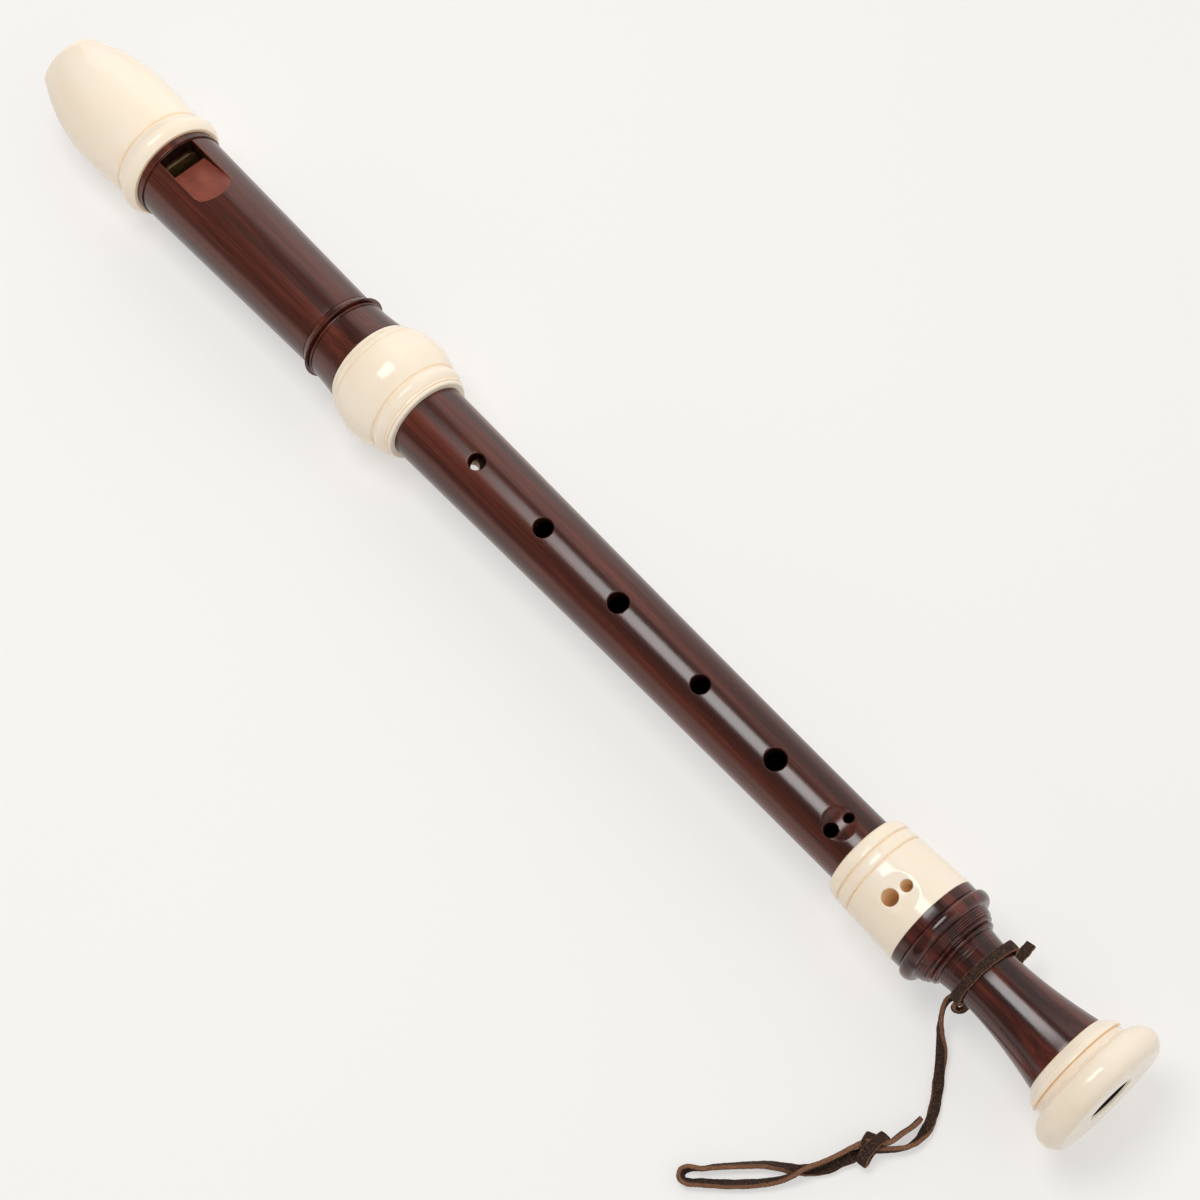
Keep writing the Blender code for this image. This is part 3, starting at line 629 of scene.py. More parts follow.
def tie(item, body, node=None):
    """Shade a piece smooth, tie it to its body, and hide the solid that it stands for."""
    item.data.shade_smooth()
    item.data.set_sharp_from_angle(angle=SHARP_ANGLE)
    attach(item, body)
    if node:
        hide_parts(node)


def dress(item, body, node):
    """Keep a turned piece's turn in its mesh, so that its box is close round it, and tie it."""
    upright = lay_down()
    item.data.transform(upright.inverted() @ item.matrix_world)
    item.matrix_world = upright
    tie(item, body, node)


# Shapes that several pieces share


head_radius = curve(HEAD_TOP, HEAD_TOP_R, HEAD_FLANGE, HEAD_FLANGE_R, 1)
middle_bore = curve(TENON_TOP, MIDDLE_BORE_TOP_R, FOOT_TENON_END, MIDDLE_BORE_END_R, 1)
foot_cylinder = curve(CYLINDER_TOP, CYLINDER_TOP_R, FOOT_BODY_TOP, CYLINDER_END_R, 1)


def middle_radius(station):
    swell = curve(FOOT_TOP, MIDDLE_END_R, MIDDLE_TOP, MIDDLE_TOP_R, MIDDLE_POWER)
    return swell(min(station, FOOT_TOP))


def neck_radius(station):
    if station < NECK:
        return curve(NECK, NECK_R, NECK_TOP, NECK_TOP_R)(station)
    return curve(NECK, NECK_R, END_RING_TOP, NECK_END_R, NECK_POWER)(station)


def windway_floor(station):
    return WINDWAY_FLOOR - WINDWAY_TIP_DROP * (1 - station / WINDOW_TOP)


def slot_cutter(name, outline, half, matrix, index):
    """A slot of a given half width, from a side view of (station, height) points."""
    rings = [[(height, across, -station) for station, height in outline] for across in (-half, half)]
    return loft(name, rings, [], matrix, index)


def beak_cutter(name, matrix):
    """The hollow under the beak: a large cylinder across the tip."""
    lip = Vector((0.0, windway_floor(0.0) - LOWER_LIP))
    heel = Vector((BEAK_CUT_LENGTH, -BEAK_CREST_R))
    chord = heel - lip
    outward = Vector((chord.y, -chord.x)).normalized()
    centre = (lip + heel) / 2 + outward * sqrt(BEAK_CUT_R ** 2 - (chord.length / 2) ** 2)
    outline = [
        (centre.x + BEAK_CUT_R * sin(angle), centre.y + BEAK_CUT_R * cos(angle))
        for angle in even_angles(BEAK_CUT_STEPS)
    ]
    return slot_cutter(name, outline, BEAK_CUT_HALF, matrix, 0)


def windway_cutter(name, matrix):
    under = sqrt(HEAD_BORE_R ** 2 - WINDOW_HALF ** 2) - SEAT_GAP
    outline = [(WINDWAY_START, under), (WINDOW_TOP, under)]
    outline += [(station, windway_floor(station) + WINDWAY_HEIGHT) for station in (WINDOW_TOP, WINDWAY_START)]
    # The windway's faces take each piece's inner material, with its painted shade
    return slot_cutter(name, outline, WINDOW_HALF, matrix, 1)


def tube_surface(radius_at):
    """The height of a tube's front over a place (across, station)."""
    return lambda across, station: sqrt(max(radius_at(station) ** 2 - across ** 2, 0.0))


def hole_cutter(name, surface, across, station, radius, edge, matrix, lean=0.0):
    """A round hole through the front, which may lean down the bore.

    Its rim follows the surface with a rounded edge, which keeps the outside's material.
    """
    steps = [(radius + edge * (1 - cos(angle)), edge * sin(angle) - edge) for angle in HOLE_ARC]
    steps.append((radius + 1.5 * edge, 0.5 * edge))
    centre = Vector((across, station))
    top = surface(across, station) + HOLE_CLEARANCE
    rings = [[] for _ in range(len(steps) + 2)]
    for angle in even_angles(HOLE_SIDES):
        along = Vector((cos(angle), sin(angle)))
        rim = centre + along * (radius + edge)
        height = surface(rim.x, rim.y)
        wall = centre + along * radius
        rings[0].append((0.0, wall.x, -wall.y - lean * height))
        for ring, (reach, rise) in zip(rings[1:], steps):
            place = centre + along * reach
            ring.append((height + rise, place.x, -place.y))
        rings[-1].append((top, place.x, -place.y))
    # The hole's wall takes the piece's inner material, with its painted shade
    return loft(name, rings, [], matrix, 1, lambda number, side: int(number == 0))


def smooth_min(first, second, size):
    overlap = max(size - abs(first - second), 0.0) / size
    return min(first, second) - overlap * overlap * size / 4


def saddle_surface(radius_at, pair):
    """The height of a saddle across the tube's front, which runs into the tube with a rounded edge."""
    radius = radius_at(pair["station"])
    tube = tube_surface(radius_at)

    def height(across, station):
        along = min(abs(station - pair["station"]), radius)
        saddle = 2 * radius - pair["saddle"] - sqrt(radius ** 2 - along ** 2)
        return smooth_min(tube(across, station), saddle, SADDLE_EDGE)

    return height


def press_saddle(item, radius_at, pair):
    """Press a pair's saddle into the front of a turned piece."""
    height = saddle_surface(radius_at, pair)
    for vertex in item.data.vertices:
        front, across, station = vertex.co.x / MM, vertex.co.y / MM, -vertex.co.z / MM
        reach = max(abs(station - pair["station"]), abs(across))
        on_skin = hypot(front, across) > radius_at(station) - SKIN
        if front > 0 and on_skin and reach < SADDLE_REACH:
            vertex.co.x = height(across, station) * MM


def pair_cutters(name, radius_at, pair, matrix):
    surface = saddle_surface(radius_at, pair)
    tools = []
    for side, width in ((-1, pair["wide"]), (1, pair["narrow"])):
        tools.append(hole_cutter(
            f"{name}_{side}", surface, side * pair["spread"] / 2, pair["station"] + side * PAIR_STAGGER,
            width / 2, PAIR_EDGE, matrix, pair["lean"],
        ))
    return tools


# Head


def make_beak_cap(ivory, inside):
    matrix = lay_down()
    outer = rounded([(0.0, 10.2), (0.0, 12.55, 0.9), (1.6, 12.93, 0.3), (1.7, 12.96)])
    outer += sampled(1.8, BEAK_CREST, curve(BEAK_CREST, BEAK_CREST_R, 0.7, 12.6), 30)
    outer += sampled(29.2, 47.8, curve(BEAK_CREST, BEAK_CREST_R, 47.4, 17.3), 40)
    for share in spread(0, 1, 24)[1:]:
        rise = sin(pi / 2 * share) ** 2
        outer.append((between(47.8, CAP_BEAD, share), between(17.27, CAP_BEAD_R, rise)))
    outer += sampled(53.1, 56.1, curve(CAP_BEAD, CAP_BEAD_R, 56.1, 17.45), 14)
    outer += rounded([outer.pop(), (CAP_END, 17.1, 0.4), (CAP_END, 14.4)])
    outer = grooved(densified(outer, [(CAP_GROOVE, 1.0)], fine=0.12, coarse=1.5), [(CAP_GROOVE, 0.9, 0.3)])
    inner = [(CAP_END, 14.3), (SLEEVE_TOP, 14.3), (SLEEVE_TOP, 10.1), (0.0, 10.1)]
    cap = turned("beak_cap_shell", outer, inner, [ivory, inside], matrix, even_angles())
    cut(cap, [beak_cutter("beak_hollow", matrix), windway_cutter("cap_windway", matrix)])
    # Painted shade in the cap's groove and along its end edge
    mark_painted_shade(cap, [(CAP_GROOVE, 0.45, 0.6), (CAP_END, 0.12, 0.5)], outside=15.0)
    dress(cap, "head", "beak_cap")


def make_block(tan):
    """The block under the windway, with a chamfered front edge that shows in the window."""
    matrix = lay_down()
    radius = HEAD_BORE_R - SEAT_GAP
    start = asin(BLOCK_HALF / radius)
    edge = BLOCK_END - BLOCK_CHAMFER
    rings = []
    for station in [0.0, *spread(0.5, edge, 24), BLOCK_END]:
        top = windway_floor(min(station, edge)) - BLOCK_CHAMFER_SLOPE * max(0.0, station - edge)
        ledge = top - BLOCK_LEDGE
        side = min(BLOCK_HALF, sqrt(radius ** 2 - ledge ** 2))
        ring = [(top, across, -station) for across in spread(-side, side, 8)]
        for angle in spread(start, 2 * pi - start, 48):
            ring.append((min(radius * cos(angle), ledge), radius * sin(angle), -station))
        rings.append(ring)
    block = loft("windway_block_body", rings, [tan], matrix)
    cut(block, [beak_cutter("block_hollow", matrix)])
    dress(block, "head", "windway_block")


def ramp_height(station, across):
    """The height of the window's bed: deep up to the labium, then a ramp with filleted sides."""
    if station <= LABIUM:
        return WINDOW_DEPTH_R
    slope = (head_radius(RAMP_END) - LABIUM_R) / (RAMP_END - LABIUM)
    share = (station - LABIUM) / (RAMP_END - LABIUM)
    over = max(abs(across) - (WINDOW_HALF - RAMP_FILLET), 0.0)
    fillet = RAMP_FILLET - sqrt(max(RAMP_FILLET ** 2 - over ** 2, 0.0))
    drop = RAMP_DROP * (across / WINDOW_HALF) ** 2
    return LABIUM_R + (station - LABIUM) * slope + share * (fillet - drop)


def window_cutter(matrix):
    """The window and its ramp, with straight walls dark with painted shade, rounded upper edges and a rounded
    bed.
    """
    surface = tube_surface(head_radius)
    bed = [WINDOW_HALF * sin(pi / 2 * share) for share in spread(-1, 1, 24)]
    outermost = -WINDOW_HALF - 1.6 * WINDOW_EDGE
    rings = []
    for station in [WINDOW_TOP - 0.04, 62.0, LABIUM, LABIUM + 0.02, *spread(65.5, WINDOW_END, 30)]:
        top = surface(WINDOW_HALF + WINDOW_EDGE, station)
        wall = [(WINDOW_CEILING, outermost), (top + 0.6 * WINDOW_EDGE, outermost)]
        for angle in WINDOW_ARC:
            height = top - WINDOW_EDGE + WINDOW_EDGE * sin(angle)
            wall.append((height, -WINDOW_HALF - WINDOW_EDGE * (1 - cos(angle))))
        wall = [(max(height, ramp_height(station, WINDOW_HALF)), across) for height, across in wall]
        ring = wall + [(ramp_height(station, across), across) for across in bed]
        ring += [(height, -across) for height, across in reversed(wall)]
        rings.append([(height, across, -station) for height, across in ring])
    walls = (len(wall) - 1, len(wall) + len(bed) - 1)
    # The straight walls take the bore's dark brown of painted shade; the bed and the edges take the cut face
    return loft("window", rings, [], matrix, 1, lambda number, side: 1 if side in walls else 2)


def make_head_tube(brown, cut_brown, bore):
    matrix = lay_down()
    top = SLEEVE_TOP + SEAT_GAP
    outer = rounded([
        (top, SLEEVE_R), (COLLAR_TOP, SLEEVE_R), (COLLAR_TOP, 16.15, 0.15), (58.95, 16.1, 0.2),
        (59.05, 15.3, 0.1), (59.3, 15.3, 0.1), (59.4, HEAD_TOP_R, 0.15), (60.2, head_radius(60.2)),
    ])
    outer += sampled(60.8, 139.8, head_radius, 20)
    outer += [(139.95, 13.98), (140.05, 13.84), (140.2, 13.84), (FLANGE_TOP, 14.0)]
    outer += sampled(140.5, 142.8, curve(FLANGE_TOP, 14.0, 142.8, 15.62, 1.8), 12)
    outer += rounded([
        outer.pop(), (142.98, 15.72, 0.1), (143.16, 15.6, 0.1), (143.3, 13.7, 0.2), (143.62, 13.7, 0.1),
        (143.7, 14.5, 0.15), (144.05, 14.74, 0.3), (144.5, 14.5, 0.2), (144.6, 14.05, 0.08),
        (144.8, 14.05, 0.08), (144.9, FLARE_TOP_R, 0.12), (FLARE_TOP, FLARE_TOP_R),
    ])
    flare = curve(FLARE_TOP, FLARE_TOP_R, HEAD_SEAT, HEAD_SEAT_R, 1.5)
    outer += sampled(145.8, HEAD_SEAT - 0.4, flare, 14)
    outer += rounded([outer.pop(), (HEAD_SEAT, HEAD_SEAT_R, 0.2), (HEAD_SEAT, HEAD_SPIGOT_R)])
    outer.append((HEAD_SPIGOT_END, HEAD_SPIGOT_R))
    outer = densified(outer, [(72.0, 16.0)], fine=0.5, coarse=3.0)
    inner = rounded([
        (HEAD_SPIGOT_END, HEAD_SOCKET_R), (HEAD_SOCKET_TOP, HEAD_SOCKET_R),
        (HEAD_SOCKET_TOP, HEAD_BORE_R, 0.2), (top, HEAD_BORE_R),
    ])
    tube = turned("head_tube_body", outer, inner, [brown, bore, cut_brown], matrix, front_angles())
    cut(tube, [windway_cutter("head_windway", matrix), window_cutter(matrix)])
    dress(tube, "head", "head_tube")


def make_head_ring(ivory, inside):
    outer = rounded([(HEAD_RING_TOP, 14.2), (HEAD_RING_TOP, 15.6, 0.35), (157.0, 15.95, 0.2), (157.1, 16.0)])
    outer += sampled(157.2, BULB_CREST, curve(BULB_CREST, BULB_R, HEAD_RING_TOP, 15.5), 26)
    outer += sampled(168.8, BULB_END, curve(BULB_CREST, BULB_R, BULB_END, 16.75), 26)
    outer += bead(177.8, 182.3, 16.5, 15.75, 0.95, 24)
    outer += rounded([
        outer.pop(), (182.42, 15.6, 0.08), (182.55, 15.85, 0.12), (183.15, 15.75, 0.2), (183.3, 15.35, 0.08),
        (183.45, 15.5, 0.12), (184.1, 15.3, 0.25), (MIDDLE_TOP, 14.85, 0.2), (MIDDLE_TOP, 13.3),
    ])
    grooves = at_each(BULB_GROOVES, 0.8, 0.2) + [(BULB_NECK, 0.7, 0.2)]
    spots = at_each(BULB_GROOVES, 0.8) + [(BULB_NECK, 1.0), (183.0, 1.0)]
    outer = grooved(densified(outer, spots, fine=0.12, coarse=1.2), grooves)
    inner = [(SHOULDER, 13.3), (SHOULDER, 14.1), (HEAD_RING_TOP, 14.1)]
    ring = turned("head_ring_bulb", outer, inner, [ivory, inside], lay_down(), even_angles())
    # Painted shade along the ring's edges and in its grooves
    shaded_lines = [(HEAD_RING_TOP, 0.2, 0.3), (BULB_NECK, 0.4, 0.4), (182.4, 0.15, 0.5), (183.3, 0.15, 0.5)]
    mark_painted_shade(ring, shaded_lines + at_each(BULB_GROOVES, 0.4, 0.45), outside=14.0)
    dress(ring, "head", "head_ring")


# Middle


def make_middle_tube(brown, bore):
    matrix = lay_down(MIDDLE_TURN)
    outer = rounded([
        (TENON_TOP, 10.9), (TENON_TOP, TENON_R, 0.5), (SHOULDER, TENON_R), (SHOULDER, MIDDLE_TOP_R, 0.25),
        (184.0, MIDDLE_TOP_R),
    ])
    outer += sampled(MIDDLE_TOP, FOOT_TOP, middle_radius, 60)
    outer += rounded([
        (FOOT_TOP + 0.3, MIDDLE_END_R), (FOOT_SHOULDER, MIDDLE_END_R, 0.25), (FOOT_SHOULDER, FOOT_TENON_R),
        (FOOT_TENON_END, FOOT_TENON_R, 0.5), (FOOT_TENON_END, 9.0),
    ])
    spots = [(station, 5.5) for station, _ in FINGER_HOLES] + [(LOW_PAIR["station"], SADDLE_REACH)]
    outer = densified(outer, spots, fine=0.4, coarse=2.5)
    inner = sampled(FOOT_TENON_END, TENON_TOP, middle_bore, 40)
    tube = turned("middle_tube_body", outer, inner, [brown, bore], matrix, front_angles())
    press_saddle(tube, middle_radius, LOW_PAIR)
    surface = tube_surface(middle_radius)
    tools = [
        hole_cutter(f"finger_hole_{number}", surface, 0.0, station, width / 2, HOLE_EDGE, matrix)
        for number, (station, width) in enumerate(FINGER_HOLES, 1)
    ]
    tools += pair_cutters("low_pair", middle_radius, LOW_PAIR, matrix)
    tools.append(hole_cutter(
        "thumb_seat", surface, 0.0, THUMB_STATION, THUMB_SEAT_R, THUMB_SEAT_EDGE, lay_down(THUMB_TURN),
    ))
    cut(tube, tools)
    dress(tube, "middle", "middle_tube")


def make_thumb_bush(ivory, inside_ivory):
    """The bush of the thumb hole: a ring from the tube's back to the bore, whose hole widens inwards."""
    outside = tube_surface(middle_radius)
    inside = tube_surface(middle_bore)
    steps = (
        (THUMB_BUSH_R, inside, 0.05), (THUMB_BUSH_R, outside, -0.3), (THUMB_BUSH_R - 0.1, outside, -0.1),
        (THUMB_BUSH_R - 0.35, outside, 0.0), (THUMB_MOUTH_R + 0.6, outside, 0.0),
        (THUMB_MOUTH_R + 0.2, outside, -0.12), (THUMB_MOUTH_R, outside, -0.5), (THUMB_HOLE_R, inside, 0.2),
        (THUMB_HOLE_R + 0.15, inside, 0.05),
    )
    rings = []
    for reach, surface, rise in steps:
        ring = []
        for angle in even_angles(THUMB_SIDES):
            across, station = reach * cos(angle), THUMB_STATION + reach * sin(angle)
            ring.append((surface(across, station) + rise, across, -station))
        rings.append(ring)
    # The hole's wall takes the warmer ivory, a painted shade
    bush = loft(
        "thumb_bush_ring", rings, [ivory, inside_ivory], lay_down(THUMB_TURN),
        index_at=lambda number, side: int(steps[number][0] == THUMB_MOUTH_R), closed=True,
    )
    # The bush takes no painted shade of grooves and edges
    bush.data.attributes.new("seam", "FLOAT", "POINT")
    dress(bush, "middle", "thumb_bush")


# Foot


def make_foot_sleeve(ivory, inside):
    matrix = lay_down(FOOT_TURN)
    outer = rounded([
        (FOOT_TOP, 11.2), (FOOT_TOP, 12.9, 0.6), (379.0, 14.05, 0.8), (381.6, 14.6, 0.6), (382.5, 14.45, 0.2),
        (383.3, 14.6, 0.5), (385.0, 14.85, 0.6), (386.7, 14.7, 0.2), (387.4, foot_cylinder(387.4)),
    ])
    outer += sampled(387.8, 405.2, foot_cylinder, 20)
    outer += rounded([outer.pop(), (FOOT_BODY_TOP, CYLINDER_END_R, 0.15), (FOOT_BODY_TOP, 14.5)])
    spots = at_each(SLEEVE_GROOVES, 0.9) + [(FOOT_PAIR["station"], SADDLE_REACH)]
    outer = grooved(densified(outer, spots, fine=0.2, coarse=1.5), at_each(SLEEVE_GROOVES, 1.0, 0.45))
    inner = [
        (FOOT_BODY_TOP, 10.3), (401.6, 10.3), (401.6, FOOT_BORE_R), (391.2, FOOT_BORE_R),
        (391.2, FOOT_SOCKET_R), (380.2, FOOT_SOCKET_R), (380.2, 11.2),
    ]
    sleeve = turned("foot_sleeve_body", outer, inner, [ivory, inside], matrix, front_angles())
    press_saddle(sleeve, foot_cylinder, FOOT_PAIR)
    cut(sleeve, pair_cutters("foot_pair", foot_cylinder, FOOT_PAIR, matrix))
    # Painted shade along the sleeve's edges and in its grooves
    shaded_lines = [(FOOT_TOP, 0.3, 1.0), (FOOT_BODY_TOP, 0.15, 0.3)]
    mark_painted_shade(sleeve, shaded_lines + at_each(SLEEVE_GROOVES, 0.4, 0.35), outside=11.9)
    dress(sleeve, "foot", "foot_sleeve")


def make_foot_body(brown, bore):
    top = FOOT_BODY_TOP + TOUCH
    seat = END_RING_TOP - TOUCH
    outer = rounded([
        (FOOT_SPIGOT_TOP, FOOT_SPIGOT_R), (top, FOOT_SPIGOT_R), (top, 15.45, 0.15), (408.6, 15.35, 0.3),
        (408.95, 15.0, 0.1), (FOOT_BEAD_TOP, 15.0),
    ])
    for share in spread(0, 1, 30)[1:-1]:
        crown = FOOT_BEAD_R * sin(pi * share) ** FOOT_BEAD_POWER
        station = FOOT_BEAD_TOP + FOOT_BEAD_R * (1 - cos(pi * share))
        outer.append((station, between(15.0, 14.2, share) + crown))
    outer += rounded([
        outer.pop(), (413.5, 14.15, 0.1), (415.95, 13.3, 0.15), (416.12, 12.5, 0.08), (416.3, 12.5),
    ])
    for start, end, start_r, end_r, crown in SMALL_BEADS:
        outer += bead(start, end, start_r, end_r, crown, 12)
        outer += [(end + 0.04, end_r - 0.5), (end + 0.16, end_r - 0.5)]
    outer += sampled(419.8, END_RING_TOP - 0.4, neck_radius, 50)
    outer += rounded([outer.pop(), (seat, 13.48, 0.1), (seat, END_SPIGOT_R)])
    outer.append((END_SPIGOT_END, END_SPIGOT_R))
    grooves = at_each(BEAD_GROOVES, 0.35, 0.16) + [(420.4, 0.4, 0.14), (421.4, 0.35, 0.1)]
    outer = grooved(densified(outer, [(414.7, 1.3), (420.9, 1.0)], fine=0.1, coarse=1.5), grooves)
    inner = [(END_SPIGOT_END, FOOT_BORE_R), (FOOT_SPIGOT_TOP, FOOT_BORE_R)]
    body = turned("foot_body_turning", outer, inner, [brown, bore], lay_down(FOOT_TURN), even_angles())
    dress(body, "foot", "foot_body")


def make_foot_end_ring(ivory, bore):
    outer = rounded([(END_RING_TOP, 10.75), (END_RING_TOP, 13.55, 0.15), (458.3, 14.05), (458.4, 14.12)])
    for station in spread(458.5, 462.2, 20):
        rise = sin(pi / 2 * (station - END_RING_TOP) / 4.6)
        outer.append((station, between(13.5, 16.9, rise)))
    outer += rounded([
        outer.pop(), (462.5, 16.85, 0.15), (462.62, 16.25, 0.15), (463.0, END_STEP_R, 0.1),
        (464.4, END_STEP_R),
    ])
    quarter = spread(0, pi / 2, 20)
    for angle in quarter[1:]:
        outer.append((RIM - 5.4 * cos(angle), between(END_STEP_R, RIM_R, sin(angle))))
    for angle in quarter[1:15]:
        outer.append((RIM + 4.9 * sin(angle), between(17.2, RIM_R, cos(angle))))
    outer += rounded([
        outer.pop(), (FOOT_END, 18.9, 0.8), (FOOT_END, BELL_MOUTH_R, 0.5), (FOOT_END - 0.7, 7.4),
    ])
    upper, lower = END_GROOVES
    spots = [(upper, 0.5), (END_STEP, 0.6), (lower, 0.5)]
    outer = grooved(densified(outer, spots, fine=0.12, coarse=1.2), [(upper, 0.3, 0.08), (lower, 0.4, 0.1)])
    inner = [
        outer.pop(), (FOOT_END - 0.8, 7.35), (FOOT_END - 7.0, FOOT_BORE_R), (465.2, FOOT_BORE_R),
        (465.2, 10.7), (END_RING_TOP, 10.7),
    ]
    # Painted shade: the ivory bell's bore takes the dark brown of the bore
    ring = turned("foot_end_ring_bell", outer, inner, [ivory, bore], lay_down(FOOT_TURN), even_angles())
    # Painted shade along the ring's edge, its step and its grooves
    shaded_lines = [(END_RING_TOP, 0.25, 1.0), (END_STEP, 0.25, 1.0), (upper, 0.2, 0.2), (lower, 0.3, 0.2)]
    mark_painted_shade(ring, shaded_lines, outside=12.0)
    dress(ring, "foot", "foot_end_ring")


# Lace: routes of (x, y, z, roll) from the lace's origin, where a roll of 0 lies flat and 90 stands


CORD_ROUTE = (
    (-0.9, -7.3, 13.0, 88), (-1.8, -7.9, 12.4, 88), (-2.6, -8.6, 11.6, 88), (-2.9, -9.9, 10.2, 88),
    (-2.4, -11.7, 8.5, 88), (-0.7, -14.0, 7.0, 92), (1.3, -16.0, 5.4, 105), (5.3, -19.2, 3.2, 140),
    (9.7, -24.4, 1.9, 178), (13.1, -28.6, 1.5, 192), (15.7, -32.4, 1.5, 188), (18.0, -36.8, 1.7, 160),
    (18.9, -41.5, 1.8, 122), (18.4, -45.0, 1.9, 104), (17.0, -47.7, 2.2, 96), (15.1, -50.3, 2.6, 92),
    (13.2, -52.6, 3.0, 90),
)
KNOT_TAIL_ROUTE = (
    (12.6, -51.0, 4.2, 80), (14.3, -48.6, 3.8, 78), (14.8, -43.5, 3.0, 75), (15.2, -40.0, 2.4, 75),
    (15.0, -36.6, 1.8, 75),
)
FINGER_LOOP_ROUTE = (
    (11.6, -51.6, 4.4, 95), (9.7, -53.9, 4.5, 98), (8.6, -57.3, 4.4, 100), (7.6, -61.2, 4.2, 100),
    (6.2, -66.0, 4.2, 98), (4.2, -71.2, 4.2, 96), (3.0, -74.8, 2.9, 110), (1.6, -77.8, 2.1, 122),
    (-0.9, -81.7, 1.7, 132), (-3.8, -85.4, 1.6, 138), (-6.8, -88.9, 1.6, 138), (-10.0, -92.2, 1.6, 136),
    (-12.8, -95.0, 1.7, 132), (-14.9, -97.2, 1.7, 128), (-16.6, -98.1, 1.8, 122), (-17.9, -97.7, 1.8, 118),
    (-18.5, -96.6, 1.8, 114), (-18.3, -95.2, 1.8, 105), (-17.2, -93.7, 1.8, 88), (-15.4, -92.0, 1.8, 74),
    (-13.4, -89.1, 1.8, 66), (-10.5, -85.4, 1.8, 63), (-7.6, -81.8, 1.8, 60), (-4.6, -78.3, 1.7, 54),
    (-1.1, -75.2, 1.5, 40), (1.9, -72.9, 1.3, 22), (4.0, -70.8, 1.3, 8), (7.4, -66.6, 1.5, -12),
    (8.8, -62.4, 1.9, -18), (10.0, -59.3, 2.2, -15), (11.2, -55.8, 2.6, -2), (12.4, -53.2, 3.0, 15),
)
TAIL_ROUTE = (
    (0.4, 7.8, 13.0, 0), (1.6, 9.1, 13.2, 0), (2.4, 11.2, 13.5, 0), (2.2, 13.5, 13.5, 4),
    (1.9, 16.2, 13.3, 8), (1.5, 18.9, 13.0, 10),
)
HITCH_ROUTE = (
    (-0.3, -8.7, 13.6, 80), (0.0, -9.6, 12.4, 82), (0.5, -9.7, 11.1, 85), (1.2, -9.2, 10.4, 88),
    (1.8, -8.2, 10.4, 90), (2.0, -7.2, 11.0, 90), (1.8, -6.4, 12.0, 90),
)

# The knot's wraps: far end and near end across the knot, middle height, half height
KNOT_WRAPS = (((11.8, -48.3), (13.0, -58.2), 3.4, 2.6), ((9.3, -50.8), (12.6, -57.2), 3.1, 2.3))


def slopes_along(places):
    """The way along a route at each of its places."""
    before = [places[0], *places[:-1]]
    after = [*places[1:], places[-1]]
    return [(end - start).normalized() for start, end in zip(before, after)]


def smooth_route(route):
    """A smooth curve through a route, as places and rolls."""
    points = [Vector(point[:3]) for point in route]
    spots = list(zip(points, slopes_along(points), (point[3] for point in route)))
    places, rolls = [points[0]], [route[0][3]]
    for (start, leaving, roll), (end, arriving, end_roll) in zip(spots, spots[1:]):
        reach = (end - start).length / 3
        handles = start + leaving * reach, end - arriving * reach
        places += interpolate_bezier(start, *handles, end, LACE_STEPS + 1)[1:]
        for share in spread(0, 1, LACE_STEPS)[1:]:
            rolls.append(between(roll, end_roll, share * share * (3 - 2 * share)))
    return places, rolls


def lace_corner(across, through, first):
    """A rounded corner of the lace's section, from an angle on."""
    points = []
    for turn in (0, 30, 60, 90):
        angle = radians(first + turn)
        cut_edge = abs(cos(angle)) ** 1.5
        points.append((across + LACE_CORNER * cos(angle), through + LACE_CORNER * sin(angle), cut_edge))
    return points


def lace_section(width, thickness):
    """Points round the lace's section as (across, through, how much of a cut edge)."""
    across, through = width / 2 - LACE_CORNER, thickness / 2 - LACE_CORNER
    crown = []
    for share in spread(0, 1, 5)[1:-1]:
        rise = LACE_CROWN * sin(pi * share)
        crown.append((between(across, -across, share), thickness / 2 + rise, 0.0))
    half = lace_corner(across, through, 0) + crown + lace_corner(-across, through, 90)
    half.append((-width / 2, 0.0, 1.0))
    return half + [(-across, -through, cut_edge) for across, through, cut_edge in half]


def lace(name, places, widths, normals, leather, seed, closed=False, taper=0):
    """Sweep the lace's section along places, with a slightly uneven width and edge.

    Its faces look along the normals. With a taper its end narrows to a tip, by 1 / taper at each step.
    """
    draw = random.Random(seed)
    shape = bmesh.new()
    layer = shape.verts.layers.float.new("cut_edge")
    rings = []
    for index, (place, width_way, normal) in enumerate(zip(places, widths, normals)):
        swell = 1.0 + LACE_SWELL * sin(index * LACE_WAVE + seed)
        swell += draw.uniform(-LACE_WIDTH_NOISE, LACE_WIDTH_NOISE)
        if taper:
            swell *= min(1.0, LACE_TIP + (len(places) - 1 - index) / taper)
        thickness = LACE_THICKNESS * (LACE_THINNEST + draw.uniform(0, LACE_THICKENING))
        ring = []
        for across, through, cut_edge in lace_section(LACE_WIDTH * swell, thickness):
            across += draw.uniform(-LACE_EDGE_NOISE, LACE_EDGE_NOISE)
            through += draw.uniform(-LACE_FACE_NOISE, LACE_FACE_NOISE)
            vertex = shape.verts.new((place + width_way * across + normal * through) * MM)
            vertex[layer] = cut_edge
            ring.append(vertex)
        rings.append(ring)
    bridge(shape, rings, closed)
    return mesh_object(name, shape, [leather], Matrix.Identity(4))


